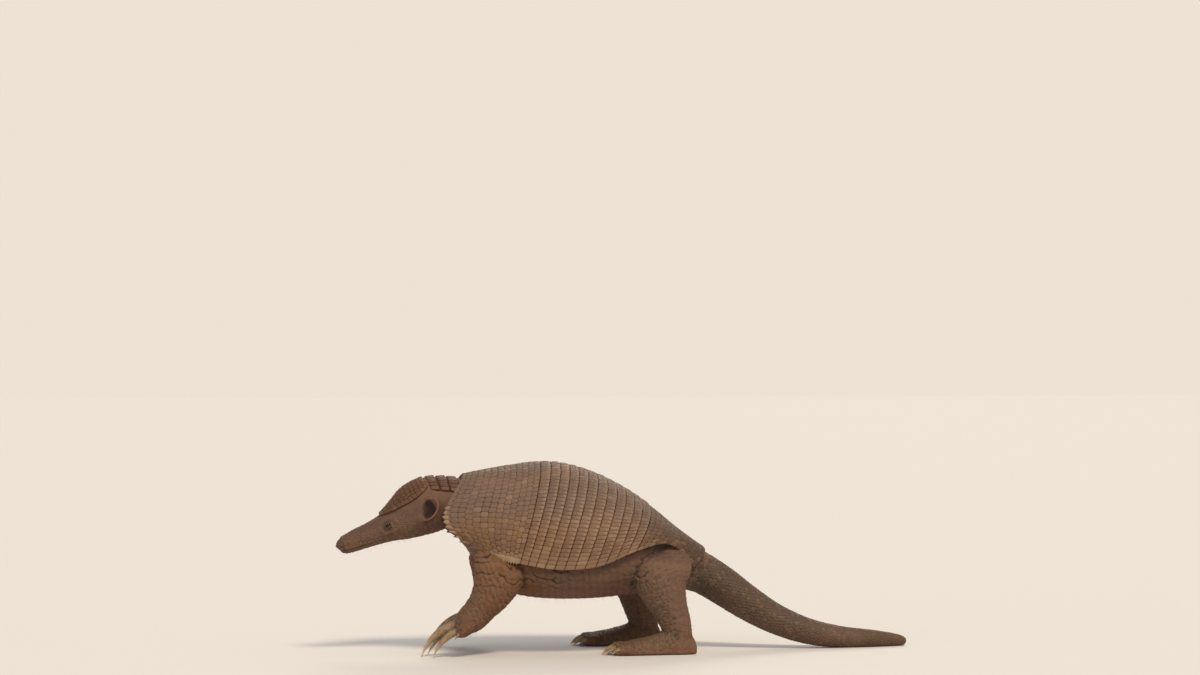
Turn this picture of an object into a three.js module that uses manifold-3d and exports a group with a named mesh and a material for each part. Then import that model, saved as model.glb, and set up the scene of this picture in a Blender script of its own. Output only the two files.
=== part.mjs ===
// A giant armadillo (Priodontes maximus) standing on all fours with its head lowered, life size.
// Millimetres, +Z up. The nose points along -X and the animal's left side faces -Y.
// The flesh is the trunk, neck, head, ears, tail, legs and feet. Over it lie the shell plates: a head
// shield, three nape bands, the shoulder shield, twelve hinged bands and the hip shield.
// Lengths along X are first measured back from the foremost point of the shoulder shield, and at the end
// the whole animal is centred on the floor.
import * as THREE from "three";
import Module from "manifold-3d";

const wasm = await Module();
wasm.setup();

// Driving sizes
const GAP = 0.4; // clearance between neighbouring solids
const BEDDING = 1.6; // clearance between the flesh and the plates that lie on it
const PLATE = 6; // thickness of the shell plates at the front edge of a row
const PLATE_STEP = 2.5; // how far the rear edge of a hinged band stands proud of the next band
const SKIN_FOLD = 9; // how far the flank draws in under the edge of the shell
const BAND_COUNT = 12;
const NAPE_COUNT = 3;
const HALF_SPAN = 8; // facets from the ridge of the back to the edge of the shell
const BELLY_SPAN = 10; // facets from one edge of the shell round the belly to the other
const LEG_SIDES = 10;
const ROUND_SIDES = 12; // facets round the tail

// The shell: x and z of the ridge, half width, x and z of the lower edge, z of the belly, front to rear
const SHELL_ROWS = [
  [45, 377, 96, 72, 221, 198],
  [135, 392, 129, 112, 203, 140],
  [225, 400, 150, 162, 192, 120],
  [300, 386, 161, 232, 182, 112],
  [375, 353, 163, 314, 188, 112],
  [440, 310, 150, 397, 219, 118],
  [502, 257, 116, 471, 230, 124],
  [556, 218, 66, 530, 178, 126],
];
const BANDS_FROM = 1.78 / 7; // where the hinged bands start and end, as shares of the shell's length
const BANDS_TO = 4.94 / 7;
const LOBE = 62; // how far the shoulder shield reaches forward beside the neck
const FLESH_LOBE = 0.35; // the share of that reach that flesh fills, at the front
const REAR_BOW = 9; // how far the rear bands bulge backwards half way down the side

// The neck, from the trunk to the head: x and z of the centre, pitch in degrees, up, down, half width
const NECK_ROWS = [
  [42, 301, 0, 63, 62, 70],
  [15, 308, 12, 62, 62, 66],
  [-16, 315, 24.4, 58, 60, 62],
];
// The head along its own axis: distance from the neck, up, down, half width
const HEAD_ROWS = [
  [0, 58, 60, 62],
  [28, 58, 58, 61],
  [58, 52, 52, 54],
  [88, 37, 45, 45],
  [114, 26, 37, 37],
  [145, 22, 31, 30],
  [182, 21, 26, 26],
  [210, 17, 22, 23],
  [222, 11, 17, 17],
  [225, 5, 9, 9],
];
const HEAD_SIDES = 16;
const EYE = { along: 108, up: -1, radius: 7.5, sunk: 4 };
const EAR = { along: 42, up: -14, out: 51, length: 62, width: 21, depth: 0.62, wall: 3 };
const EAR_AXIS = [0.5, 0.5, 0.7]; // from root to tip: backwards, outwards and up
const EAR_BACK = [0.6, -0.79, 0.13]; // the way its closed side faces
// Along the ear from its root: the share of its length, of its width, and the half angle it wraps round
const EAR_ROWS = [
  [0, 0.5, 150],
  [0.16, 0.8, 128],
  [0.4, 1, 104],
  [0.66, 0.95, 92],
  [0.88, 0.62, 84],
  [1, 0.22, 70],
];
const EAR_SPAN = 6; // facets across the ear
// Plates that lie on the head and nape: half angle, height over the flesh at front and rear, and depth
const PATCH_SPAN = 8;
const HEAD_SHIELD = { from: 0, to: 115, middle: 48, reach: 74, spread: 62, height: 4, depth: 3 };
const NAPE_BANDS = { from: 0.14, to: 1.64, gap: 0.012, spread: 56, height: [3.5, 5], depth: 3 };

// The tail: x, y and z of the centre, half width, half height
const TAIL_ROWS = [
  [550, 0, 167, 49, 43],
  [600, -2, 136, 46, 41],
  [655, -6, 98, 40, 37],
  [715, -12, 63, 34, 32],
  [785, -17, 36, 28.5, 27.5],
  [860, -16, 22.2, 24, 23],
  [935, -8, 17.2, 18.6, 18],
  [990, 4, 11.8, 12.6, 12.4],
  [1008, 10, 7.8, 6.5, 6.5],
];
const TAIL_PARTS = [
  ["tail_base", 0, 3],
  ["tail_middle", 3, 5],
  ["tail_tip", 5, 8],
];

// The legs, from the body down: x, y outwards, z, half length, half width
const FORELEG_ROWS = [
  [128, 88, 240, 54, 34],
  [122, 106, 192, 60, 38],
  [113, 115, 152, 50, 36],
  [100, 115, 120, 40, 33],
  [85, 112, 96, 33, 31],
];
const FOREFOOT_ROWS = [
  [85, 112, 95, 32, 31],
  [67, 110, 79, 31, 37],
  [50, 108, 65, 24, 41],
  [39, 107, 57, 14, 38],
];
const HINDLEG_ROWS = [
  [462, 84, 222, 56, 34],
  [452, 104, 188, 64, 38],
  [445, 113, 148, 55, 36],
  [456, 115, 100, 40, 30],
  [472, 115, 50, 31, 26],
];
// The sole, from heel to toes: x, half width, height
const HINDFOOT_ROWS = [
  [512, 13, 20],
  [503, 23, 38],
  [482, 29, 52],
  [452, 31, 52],
  [418, 34, 40],
  [382, 37, 32],
  [352, 38, 26],
  [336, 34, 17],
];
const FOOT_SPAN = 10; // facets over the foot
const SOLE_PAD = 4.5; // how high the sole's rounded edge stands
const SOLE_SHARE = 0.78; // the flat of the sole, as a share of its width
// Claws: y outwards from the middle of the foot, x and z of the root, length, width, depth, and the pitch
// of the claw at root and tip, in degrees below level
const FORE_CLAWS = [
  [-34, 44, 57, 42, 10, 10, 20, 62],
  [-19, 43, 59, 92, 15, 15, 15, 68],
  [1, 46, 66, 113, 27, 24, 5, 72],
  [25, 45, 57, 86, 21, 19, 15, 72],
  [39, 50, 57, 30, 11, 11, 25, 60],
];
const HIND_CLAWS = [
  [-29, 346, 14, 26, 13, 11, 8, 52],
  [-15, 342, 16, 32, 15, 13, 8, 50],
  [1, 340, 17, 35, 16, 14, 8, 48],
  [17, 342, 16, 32, 15, 13, 8, 50],
  [31, 348, 14, 24, 13, 11, 8, 52],
];
// How far each foot is set ahead of (-) or behind (+) the square stance
const STEP = { fore_left: -14, fore_right: 22, hind_left: 16, hind_right: -20 };

// Colours of the dusty plates, skin and horn
const FINISH = {
  plate: { color: 0x86684f, roughness: 0.82 },
  flank_plate: { color: 0x8c6c50, roughness: 0.84 },
  skin: { color: 0x7d5a42, roughness: 0.75 },
  ear: { color: 0x6f4a3c, roughness: 0.7 },
  eye: { color: 0x140d0a, roughness: 0.12 },
  claw: { color: 0xb59a78, roughness: 0.5 },
  nail: { color: 0xa98f72, roughness: 0.55 },
};

const rad = THREE.MathUtils.degToRad;
const point = (x, y, z) => new THREE.Vector3(x, y, z);

// A smooth value through the rows of a table, at a place given in rows
function smooth(rows, place) {
  const last = rows.length - 1;
  const k = Math.min(Math.floor(place), last - 1);
  const t = place - k;
  const [a, b, c, d] = [k - 1, k, k + 1, k + 2].map((i) => rows[THREE.MathUtils.clamp(i, 0, last)]);
  return b.map((v, i) => {
    const cubic = 3 * (v - c[i]) + d[i] - a[i];
    const square = 2 * a[i] - 5 * v + 4 * c[i] - d[i];
    return v + 0.5 * t * (c[i] - a[i] + t * (square + t * cubic));
  });
}

// A closed body from points and triangles, turned to face out
function closedBody(points, triangles) {
  const corners = triangles.map((triangle) => triangle.map((k) => points[k]));
  const volume = corners.reduce((sum, [a, b, c]) => sum + a.dot(b.clone().cross(c)), 0);
  const facing = volume < 0 ? triangles.map(([a, b, c]) => [a, c, b]) : triangles;
  return new wasm.Manifold(
    new wasm.Mesh({
      numProp: 3,
      vertProperties: new Float32Array(points.flatMap((p) => [p.x, p.y, p.z])),
      triVerts: new Uint32Array(facing.flat()),
    }),
  );
}

// A body skinned over closed rings of points, with a fan over each end
function loft(rings) {
  const n = rings[0].length;
  const points = rings.flat();
  const triangles = [];
  for (let r = 0; r + 1 < rings.length; r++)
    for (let i = 0; i < n; i++) {
      const [a, b] = [r * n + i, r * n + ((i + 1) % n)];
      triangles.push([a, b, b + n], [a, b + n, a + n]);
    }
  for (const [ring, first, flip] of [[rings[0], 0, true], [rings.at(-1), (rings.length - 1) * n, false]]) {
    const middle = ring.reduce((sum, p) => sum.add(p), point(0, 0, 0)).divideScalar(n);
    const hub = points.push(middle) - 1;
    for (let i = 0; i < n; i++) {
      const [a, b] = [first + i, first + ((i + 1) % n)];
      triangles.push(flip ? [hub, b, a] : [hub, a, b]);
    }
  }
  return closedBody(points, triangles);
}

// A curved plate between two grids of points, with walls round its four sides
function plate(outer, inner) {
  const [rows, columns] = [outer.length, outer[0].length];
  const points = [...outer.flat(), ...inner.flat()];
  const at = (layer, i, j) => (layer * rows + i) * columns + j;
  const triangles = [];
  const quad = (a, b, c, d) => triangles.push([a, b, c], [a, c, d]);
  for (let i = 0; i + 1 < rows; i++)
    for (let j = 0; j + 1 < columns; j++) {
      quad(at(0, i, j), at(0, i, j + 1), at(0, i + 1, j + 1), at(0, i + 1, j));
      quad(at(1, i, j), at(1, i + 1, j), at(1, i + 1, j + 1), at(1, i, j + 1));
    }
  for (let j = 0; j + 1 < columns; j++) {
    quad(at(0, 0, j), at(1, 0, j), at(1, 0, j + 1), at(0, 0, j + 1));
    quad(at(0, rows - 1, j), at(0, rows - 1, j + 1), at(1, rows - 1, j + 1), at(1, rows - 1, j));
  }
  for (let i = 0; i + 1 < rows; i++) {
    quad(at(0, i, 0), at(0, i + 1, 0), at(1, i + 1, 0), at(1, i, 0));
    quad(at(0, i, columns - 1), at(1, i, columns - 1), at(1, i + 1, columns - 1), at(0, i + 1, columns - 1));
  }
  return closedBody(points, triangles);
}

// What is left of a solid when the tools are taken from it, without the slivers that this can leave
function cut(solid, ...tools) {
  const pieces = tools.reduce((rest, tool) => rest.subtract(tool), solid).decompose();
  return pieces.reduce((most, piece) => (piece.volume() > most.volume() ? piece : most));
}

// Everything below the floor, taken off whatever stands on it
const belowFloor = loft(
  [-1500, 1500].map((x) => [[-500, -100], [500, -100], [500, 0], [-500, 0]].map(([y, z]) => point(x, y, z))),
);

// A point of the shell: place from 0 at the front to 1 at the rear, angle from the ridge, and height over
// the surface that the plates' front edges lie in
function shellPoint(place, angle, height, lobeShare = 1) {
  const [ridgeX, ridgeZ, half, edgeX, edgeZ] = smooth(SHELL_ROWS, place * (SHELL_ROWS.length - 1));
  const [sin, cos] = [Math.sin(angle), Math.cos(angle)];
  const rise = ridgeZ - edgeZ;
  const out = Math.hypot(rise * sin, half * cos);
  const forward = lobeShare * LOBE * Math.max(0, 1 - place / BANDS_FROM) ** 1.5;
  const lobe = forward * Math.sin(Math.PI * Math.abs(angle / rad(90)) ** 2.2);
  const bow = REAR_BOW * Math.abs(Math.sin(2 * angle)) * place;
  return point(
    THREE.MathUtils.lerp(edgeX, ridgeX, cos) - lobe + bow,
    sin * half + (height * rise * sin) / out,
    edgeZ + rise * cos + (height * half * cos) / out,
  );
}
const SHELL_ANGLES = Array.from({ length: 2 * HALF_SPAN + 1 }, (_, i) => rad(90 * (i / HALF_SPAN - 1)));
const isEdge = (i) => i % (2 * HALF_SPAN) === 0;

// A stretch of the shell between two places; the height may differ from front to rear
function shellPlate(places, heights, bottom = -PLATE) {
  const line = (place, height) => SHELL_ANGLES.map((angle) => shellPoint(place, angle, height));
  return plate(
    places.map((place, i) => line(place, heights[i])),
    places.map((place) => line(place, bottom)),
  );
}

// Places along the shell: the shoulder shield's, each band's front and rear, and the hip shield's
const bandPlaces = Array.from({ length: BAND_COUNT + 1 }, (_, i) =>
  THREE.MathUtils.lerp(BANDS_FROM, BANDS_TO, i / BAND_COUNT),
);
const SHOULDER_PLACES = [0, 0.05, 0.12, 0.2, BANDS_FROM];
const HIP_PLACES = [BANDS_TO, 0.79, 0.86, 0.93, 1];
const SEAM = 0.0009; // gap between two plates, as a share of the shell's length

// A ring of an egg-shaped section in its own plane: up, down and half width, pitched head down
function eggRing(x, y, z, pitch, up, down, half, sides, grow = 0) {
  return Array.from({ length: sides }, (_, i) => {
    const angle = (2 * Math.PI * i) / sides;
    const height = Math.cos(angle) * ((Math.cos(angle) > 0 ? up : down) + grow);
    const across = y + Math.sin(angle) * (half + grow);
    return point(x - height * Math.sin(rad(pitch)), across, z + height * Math.cos(rad(pitch)));
  });
}

// Flesh of the trunk: it follows the underside of the shell, draws in at its edge and rounds the belly
function trunkRing(place, grow) {
  const [, , half, edgeX, edgeZ, bellyZ] = smooth(SHELL_ROWS, place * (SHELL_ROWS.length - 1));
  const under = -PLATE - BEDDING + grow;
  const lobeShare = place < 0.1 ? FLESH_LOBE : 1;
  const top = SHELL_ANGLES.map((angle, i) =>
    shellPoint(place, angle, isEdge(i) ? under - SKIN_FOLD : under, lobeShare),
  );
  const belly = Array.from({ length: BELLY_SPAN - 1 }, (_, i) => {
    const angle = (Math.PI * (i + 1)) / BELLY_SPAN;
    const across = Math.sign(Math.cos(angle)) * Math.abs(Math.cos(angle)) ** 0.72;
    return point(
      edgeX,
      across * (half - PLATE - SKIN_FOLD + grow),
      edgeZ - (edgeZ - bellyZ + grow) * Math.sin(angle) ** 0.85,
    );
  });
  return [...top, ...belly];
}

// An oval ring with the same count of points as the trunk's, for its two ends
function trunkEnd(x, z, up, down, half, grow) {
  const arc = (from, to, count) =>
    Array.from({ length: count }, (_, i) => {
      const angle = rad(from + ((to - from) * i) / (count - 1));
      const height = Math.cos(angle) * ((Math.cos(angle) > 0 ? up : down) + grow);
      return point(x, Math.sin(angle) * (half + grow), z + height);
    });
  return [...arc(-90, 90, 2 * HALF_SPAN + 1), ...arc(90, 270, BELLY_SPAN + 1).slice(1, -1)];
}

function trunkBody(grow = 0) {
  const places = [
    ...SHOULDER_PLACES.slice(1, -1),
    ...bandPlaces.filter((_, i) => i % 2 === 0),
    ...HIP_PLACES.slice(1, -1),
    0.975,
  ];
  const [neck, tail] = [NECK_ROWS[0], TAIL_ROWS[0]];
  return loft([
    trunkEnd(neck[0], neck[1], neck[3], neck[4], neck[5], grow),
    ...places.map((place) => trunkRing(place, grow)),
    trunkEnd(tail[0], tail[2], tail[4], tail[4], tail[3], grow),
  ]);
}

function neckBody(grow = 0) {
  return loft(
    NECK_ROWS.map(([x, z, pitch, up, down, half], i) =>
      eggRing(i ? x : x - GAP, 0, z, pitch, up, down, half, HEAD_SIDES, grow),
    ),
  );
}

// A point of the head: distance along its axis, height over it and width, from the neck's last ring
const [headX, headZ, headPitch] = NECK_ROWS.at(-1);
const headPoint = (along, y, up) =>
  point(
    headX - along * Math.cos(rad(headPitch)) - up * Math.sin(rad(headPitch)),
    y,
    headZ - along * Math.sin(rad(headPitch)) + up * Math.cos(rad(headPitch)),
  );
const headSize = (along) => {
  const k = HEAD_ROWS.findIndex((row) => row[0] > along) - 1;
  return smooth(HEAD_ROWS, k + (along - HEAD_ROWS[k][0]) / (HEAD_ROWS[k + 1][0] - HEAD_ROWS[k][0]));
};

function headBody(grow = 0) {
  const rows = HEAD_ROWS.map(([along, ...rest], i) => [i ? along : along + GAP, ...rest]);
  return loft(
    rows.map(([along, up, down, half]) => {
      const { x, z } = headPoint(along, 0, 0);
      return eggRing(x, 0, z, headPitch, up, down, half, HEAD_SIDES, grow);
    }),
  );
}

function eyeBall(side, grow = 0) {
  const [, , , half] = headSize(EYE.along);
  const { x, y, z } = headPoint(EYE.along, side * (half - EYE.sunk), EYE.up);
  const rings = Array.from({ length: 6 }, (_, i) => {
    const angle = rad(15 + (150 * i) / 5);
    const radius = (EYE.radius + grow) * Math.sin(angle);
    const across = y - side * (EYE.radius + grow) * Math.cos(angle);
    return Array.from({ length: 8 }, (_, k) => {
      const turn = (2 * Math.PI * k) / 8;
      return point(x + radius * Math.cos(turn), across, z + radius * Math.sin(turn));
    });
  });
  return loft(rings);
}

// The ear is a leaf rolled into a cup that opens outwards and forwards, and leans back
function earCup(side) {
  const axis = point(EAR_AXIS[0], side * EAR_AXIS[1], EAR_AXIS[2]).normalize();
  const across = point(EAR_BACK[0], side * EAR_BACK[1], EAR_BACK[2]).cross(axis).normalize();
  const lean = new THREE.Matrix4().makeBasis(axis, across, axis.clone().cross(across));
  const root = headPoint(EAR.along, side * EAR.out, EAR.up);
  const layer = (inset) =>
    EAR_ROWS.map(([place, width, wrap]) =>
      Array.from({ length: EAR_SPAN + 1 }, (_, k) => {
        const angle = rad(wrap) * ((2 * k) / EAR_SPAN - 1);
        const radius = EAR.width * width - inset;
        const [wide, deep] = [Math.sin(angle) * radius, Math.cos(angle) * radius * EAR.depth];
        return point(place * (EAR.length - inset), wide, deep).applyMatrix4(lean).add(root);
      }),
    );
  return plate(layer(0), layer(EAR.wall));
}

// The head shield: an oval of small plates from between the ears to the root of the snout
function headShield() {
  const { from, to, middle, reach, spread, height, depth } = HEAD_SHIELD;
  const patch = (over) =>
    Array.from({ length: 7 }, (_, i) => {
      const along = THREE.MathUtils.lerp(from, to, i / 6);
      const [, up, , half] = headSize(along);
      const width = Math.sqrt(Math.max(0.1, 1 - ((along - middle) / reach) ** 2));
      return Array.from({ length: PATCH_SPAN + 1 }, (_, k) => {
        const angle = rad(spread) * width * ((2 * k) / PATCH_SPAN - 1);
        return headPoint(along, Math.sin(angle) * (half + over), Math.cos(angle) * (up + over));
      });
    });
  return plate(patch(height), patch(-depth));
}

// One of the bands of small plates over the nape
function napeBand(index) {
  const { from, to, gap, spread, height, depth } = NAPE_BANDS;
  const ends = [index / NAPE_COUNT, (index + 1) / NAPE_COUNT].map((t) => THREE.MathUtils.lerp(from, to, t));
  const reach = [ends[0] + gap, ends[1] - gap]; // in rows of the neck, from the head's end
  const patch = (overs) =>
    reach.map((place, end) => {
      const [x, z, pitch, up, , half] = smooth(NECK_ROWS, NECK_ROWS.length - 1 - place);
      return Array.from({ length: PATCH_SPAN + 1 }, (_, k) => {
        const angle = rad(spread) * ((2 * k) / PATCH_SPAN - 1);
        const rise = Math.cos(angle) * (up + overs[end]);
        const across = Math.sin(angle) * (half + overs[end]);
        return point(x - rise * Math.sin(rad(pitch)), across, z + rise * Math.cos(rad(pitch)));
      });
    });
  return plate(patch(height), patch([-depth, -depth]));
}

// A length of the tail, with a flat where it lies on the floor
function tailBody(from, to) {
  const rings = TAIL_ROWS.slice(from, to + 1).map(([x, y, z, half, up], i) =>
    trailRing(from + i, x + (i ? 0 : GAP), y, z, half, up),
  );
  return cut(loft(rings), belowFloor);
}

// A ring of the tail, square to the line from the ring before it to the one after it
function trailRing(k, x, y, z, half, up) {
  const before = TAIL_ROWS[Math.max(k - 1, 0)];
  const after = TAIL_ROWS[Math.min(k + 1, TAIL_ROWS.length - 1)];
  const fall = k === 0 ? 0 : Math.atan2(before[2] - after[2], after[0] - before[0]);
  return Array.from({ length: ROUND_SIDES }, (_, i) => {
    const angle = (2 * Math.PI * i) / ROUND_SIDES;
    const height = Math.cos(angle) * up;
    return point(x + height * Math.sin(fall), y + Math.sin(angle) * half, z + height * Math.cos(fall));
  });
}

// A ring of a leg or forefoot: square to its run in the side view
function limbRings(rows, side, step, reach, grow) {
  return rows.map(([x, y, z, long, wide], i) => {
    const [before, after] = [rows[Math.max(i - 1, 0)], rows[Math.min(i + 1, rows.length - 1)]];
    const run = point(after[0] - before[0], 0, after[2] - before[2]).normalize();
    const shift = step * THREE.MathUtils.lerp(reach[0], reach[1], i / (rows.length - 1));
    return Array.from({ length: LEG_SIDES }, (_, k) => {
      const angle = (2 * Math.PI * k) / LEG_SIDES;
      const along = Math.cos(angle) * (long + grow);
      return point(x + shift - along * run.z, side * y + Math.sin(angle) * (wide + grow), z + along * run.x);
    });
  });
}
const foreleg = (side, step, grow = 0) => loft(limbRings(FORELEG_ROWS, side, step, [0, 1], grow));
const forefoot = (side, step, grow = 0) => loft(limbRings(FOREFOOT_ROWS, side, step, [1, 1], grow));
const hindleg = (side, step, grow = 0) => loft(limbRings(HINDLEG_ROWS, side, step, [0, 1], grow));

function hindfoot(side, step, grow = 0) {
  const y = side * HINDLEG_ROWS.at(-1)[1];
  return loft(
    HINDFOOT_ROWS.map(([x, half, height]) => [
      ...Array.from({ length: FOOT_SPAN + 1 }, (_, k) => {
        const angle = (Math.PI * k) / FOOT_SPAN;
        const rise = Math.sin(angle) ** 0.8 * (height + grow - SOLE_PAD);
        return point(x + step, y + Math.cos(angle) * (half + grow), SOLE_PAD + rise);
      }),
      point(x + step, y - half * SOLE_SHARE, 0),
      point(x + step, y + half * SOLE_SHARE, 0),
    ]),
  );
}

// A claw swept along an arc that bends towards the floor, deep at the root and blunt at the tip
function claw(side, footY, step, [out, x, z, length, width, depth, rootPitch, tipPitch]) {
  const bend = rad(tipPitch - rootPitch);
  const radius = length / bend;
  const rings = [0, 0.3, 0.58, 0.8, 0.94, 1].map((t) => {
    const pitch = rad(rootPitch) + bend * t;
    const ahead = radius * (Math.sin(pitch) - Math.sin(rad(rootPitch)));
    const down = radius * (Math.cos(rad(rootPitch)) - Math.cos(pitch));
    const size = Math.max(0.13, 1 - t ** 1.7);
    return Array.from({ length: 6 }, (_, k) => {
      const angle = rad(60 * k + 30);
      const up = (Math.cos(angle) * depth * size) / 2;
      return point(
        x + step - ahead - up * Math.sin(pitch),
        side * (footY + out) + (Math.sin(angle) * width * size) / 2,
        z - down + up * Math.cos(pitch),
      );
    });
  });
  return loft(rings);
}

// The animal, sub-part by sub-part
const armadillo = new THREE.Group();

function add(name, solid, finish) {
  const mesh = solid.getMesh();
  const geometry = new THREE.BufferGeometry();
  geometry.setAttribute("position", new THREE.BufferAttribute(mesh.vertProperties, 3));
  geometry.setIndex(new THREE.BufferAttribute(mesh.triVerts, 1));
  geometry.computeVertexNormals();
  const material = new THREE.MeshStandardMaterial({ metalness: 0, flatShading: true, ...FINISH[finish] });
  const part = new THREE.Mesh(geometry, material);
  part.name = name;
  armadillo.add(part);
}


// A cutting tool that also leaves a gap ahead of the solid and below it
const withMargin = (solid) =>
  [[-2 * GAP, 0, 0], [0, 0, -2 * GAP]].reduce((tool, shift) => tool.add(solid.translate(shift)), solid);
const trunkCut = withMargin(trunkBody(1.5 * GAP));
const shellPlaces = [...SHOULDER_PLACES, ...bandPlaces.slice(1), ...HIP_PLACES.slice(1)];
const shellTops = shellPlaces.map(() => PLATE_STEP + GAP);
const wholeShell = withMargin(shellPlate(shellPlaces, shellTops, -PLATE - GAP));

add("trunk", cut(trunkBody(), wholeShell), "skin");
add("neck", cut(neckBody(), trunkCut, wholeShell), "skin");
add("head", cut(headBody(), eyeBall(-1, GAP), eyeBall(1, GAP)), "skin");
add("head_shield", cut(headShield(), headBody(GAP), neckBody(GAP)), "plate");
for (let i = 0; i < NAPE_COUNT; i++)
  add(`nape_band_${i + 1}`, cut(napeBand(i), neckBody(GAP), headBody(GAP), trunkCut, wholeShell), "plate");

// A plate of the shell that ends a seam short of its neighbours and rises towards its rear edge
function seamedPlate(places) {
  const [first, last] = [places[0], places.at(-1)];
  const heights = places.map((place) => (PLATE_STEP * (place - first)) / (last - first));
  return shellPlate([first + SEAM, ...places.slice(1, -1), last - SEAM], heights);
}
add("shoulder_shield", seamedPlate(SHOULDER_PLACES), "plate");
for (let i = 0; i < BAND_COUNT; i++)
  add(`band_${i + 1}`, seamedPlate([bandPlaces[i], bandPlaces[i + 1]]), "flank_plate");
add("hip_shield", seamedPlate(HIP_PLACES), "plate");

for (const [name, from, to] of TAIL_PARTS) add(name, tailBody(from, to), "skin");

for (const [word, side] of [["left", -1], ["right", 1]]) {
  add(`ear_${word}`, cut(earCup(side), headBody(GAP), neckBody(GAP), trunkCut, wholeShell), "ear");
  add(`eye_${word}`, eyeBall(side), "eye");
  const [fore, hind] = [STEP[`fore_${word}`], STEP[`hind_${word}`]];
  const [handY, soleY] = [FOREFOOT_ROWS.at(-1)[1], HINDLEG_ROWS.at(-1)[1]];
  add(`foreleg_${word}`, cut(foreleg(side, fore), trunkCut, wholeShell, forefoot(side, fore, GAP)), "skin");
  add(`forefoot_${word}`, forefoot(side, fore), "skin");
  add(`hindleg_${word}`, cut(hindleg(side, hind), trunkCut, wholeShell, hindfoot(side, hind, GAP)), "skin");
  add(`hindfoot_${word}`, hindfoot(side, hind), "skin");
  for (const [i, size] of FORE_CLAWS.entries()) {
    const solid = claw(side, handY, fore, size);
    add(`fore_claw_${word}_${i + 1}`, cut(solid, forefoot(side, fore, GAP), belowFloor), "claw");
  }
  for (const [i, size] of HIND_CLAWS.entries()) {
    const solid = claw(side, soleY, hind, size);
    add(`hind_claw_${word}_${i + 1}`, cut(solid, hindfoot(side, hind, GAP), belowFloor), "nail");
  }
}

// Centre the animal over the floor between its nose and the tip of its tail
const middle = new THREE.Box3().setFromObject(armadillo).getCenter(point(0, 0, 0));
armadillo.position.x = -middle.x;

export default armadillo;
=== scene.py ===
# A giant armadillo (Priodontes maximus) as a museum shows it: life size, still, on all fours with its
# head lowered. The nose points along -X, the animal's left side faces -Y, and the floor is at z = 0.
import math

import bpy
import numpy as np
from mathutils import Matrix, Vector, noise
from mathutils.bvhtree import BVHTree


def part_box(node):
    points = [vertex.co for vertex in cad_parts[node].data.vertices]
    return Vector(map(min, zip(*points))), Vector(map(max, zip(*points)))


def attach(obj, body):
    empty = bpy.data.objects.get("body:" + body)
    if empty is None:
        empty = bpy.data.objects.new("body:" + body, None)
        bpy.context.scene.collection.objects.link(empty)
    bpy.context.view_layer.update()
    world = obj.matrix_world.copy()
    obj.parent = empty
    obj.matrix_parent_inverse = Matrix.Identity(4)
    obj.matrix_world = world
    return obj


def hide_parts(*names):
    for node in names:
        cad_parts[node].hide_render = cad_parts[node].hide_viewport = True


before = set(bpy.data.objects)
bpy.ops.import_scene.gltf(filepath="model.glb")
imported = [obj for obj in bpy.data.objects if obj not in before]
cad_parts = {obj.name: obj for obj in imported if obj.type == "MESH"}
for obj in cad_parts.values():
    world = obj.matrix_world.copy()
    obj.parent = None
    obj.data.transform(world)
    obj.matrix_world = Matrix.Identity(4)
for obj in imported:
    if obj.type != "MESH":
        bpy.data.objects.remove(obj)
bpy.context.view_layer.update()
bpy.ops.object.select_all(action="DESELECT")

# ---------------------------------------------------------------------------------------------------
# The studio: a pale painted floor that runs out of sight under a pale sky, a broad soft light high over
# the camera's right shoulder, a weaker one on its left and one behind, so that the back keeps an edge.

FLOOR_SIZE = 60.0
FLOOR_COLOUR = "#d9d4cc"
FLOOR_ROUGHNESS = 0.85
SKY_COLOUR = "#dfe1e4"
SKY_STRENGTH = 0.62
BACKDROP_COLOUR = "#ede2d4"
# Each light: name, the way it comes from, its spread in degrees, its strength, colour
LIGHTS = [
    ("key_light", (0.35, -1.0, 1.25), 16, 2.3, "#fff0dc"),
    ("fill_light", (-1.6, -0.9, 0.6), 40, 0.5, "#eef2ff"),
    ("back_light", (0.3, 1.2, 0.9), 25, 0.8, "#fff6ec"),
]


def linear(hex_colour):
    """A colour written as sRGB hex, in the linear values that the shader works in."""
    parts = [int(hex_colour[k : k + 2], 16) / 255 for k in (1, 3, 5)]
    return [p / 12.92 if p <= 0.04045 else ((p + 0.055) / 1.055) ** 2.4 for p in parts] + [1.0]


def new_material(name):
    """An empty material with its shader: the node tree and the Principled node."""
    material = bpy.data.materials.new(name)
    material.use_nodes = True
    return material, material.node_tree, material.node_tree.nodes["Principled BSDF"]


def node(tree, kind, inputs=None, **settings):
    """A new node with its settings; an input is given as a value or as the socket that feeds it."""
    made = tree.nodes.new(kind)
    for key, value in settings.items():
        setattr(made, key, value)
    for key, value in (inputs or {}).items():
        if isinstance(value, bpy.types.NodeSocket):
            tree.links.new(value, made.inputs[key])
        else:
            made.inputs[key].default_value = value
    return made


bpy.ops.mesh.primitive_grid_add(x_subdivisions=2, y_subdivisions=2, size=FLOOR_SIZE)
floor = bpy.context.active_object
floor.name = "floor"
# Matt paint: one even pale tone with no gloss
floor_paint, _, floor_shader = new_material("matt floor paint")
floor_shader.inputs["Base Color"].default_value = linear(FLOOR_COLOUR)
floor_shader.inputs["Roughness"].default_value = FLOOR_ROUGHNESS
floor.data.materials.append(floor_paint)

world = bpy.data.worlds.new("studio")
bpy.context.scene.world = world
world.use_nodes = True
sky = world.node_tree
studio_light = sky.nodes["Background"]
studio_light.inputs["Color"].default_value = linear(SKY_COLOUR)
studio_light.inputs["Strength"].default_value = SKY_STRENGTH
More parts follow.
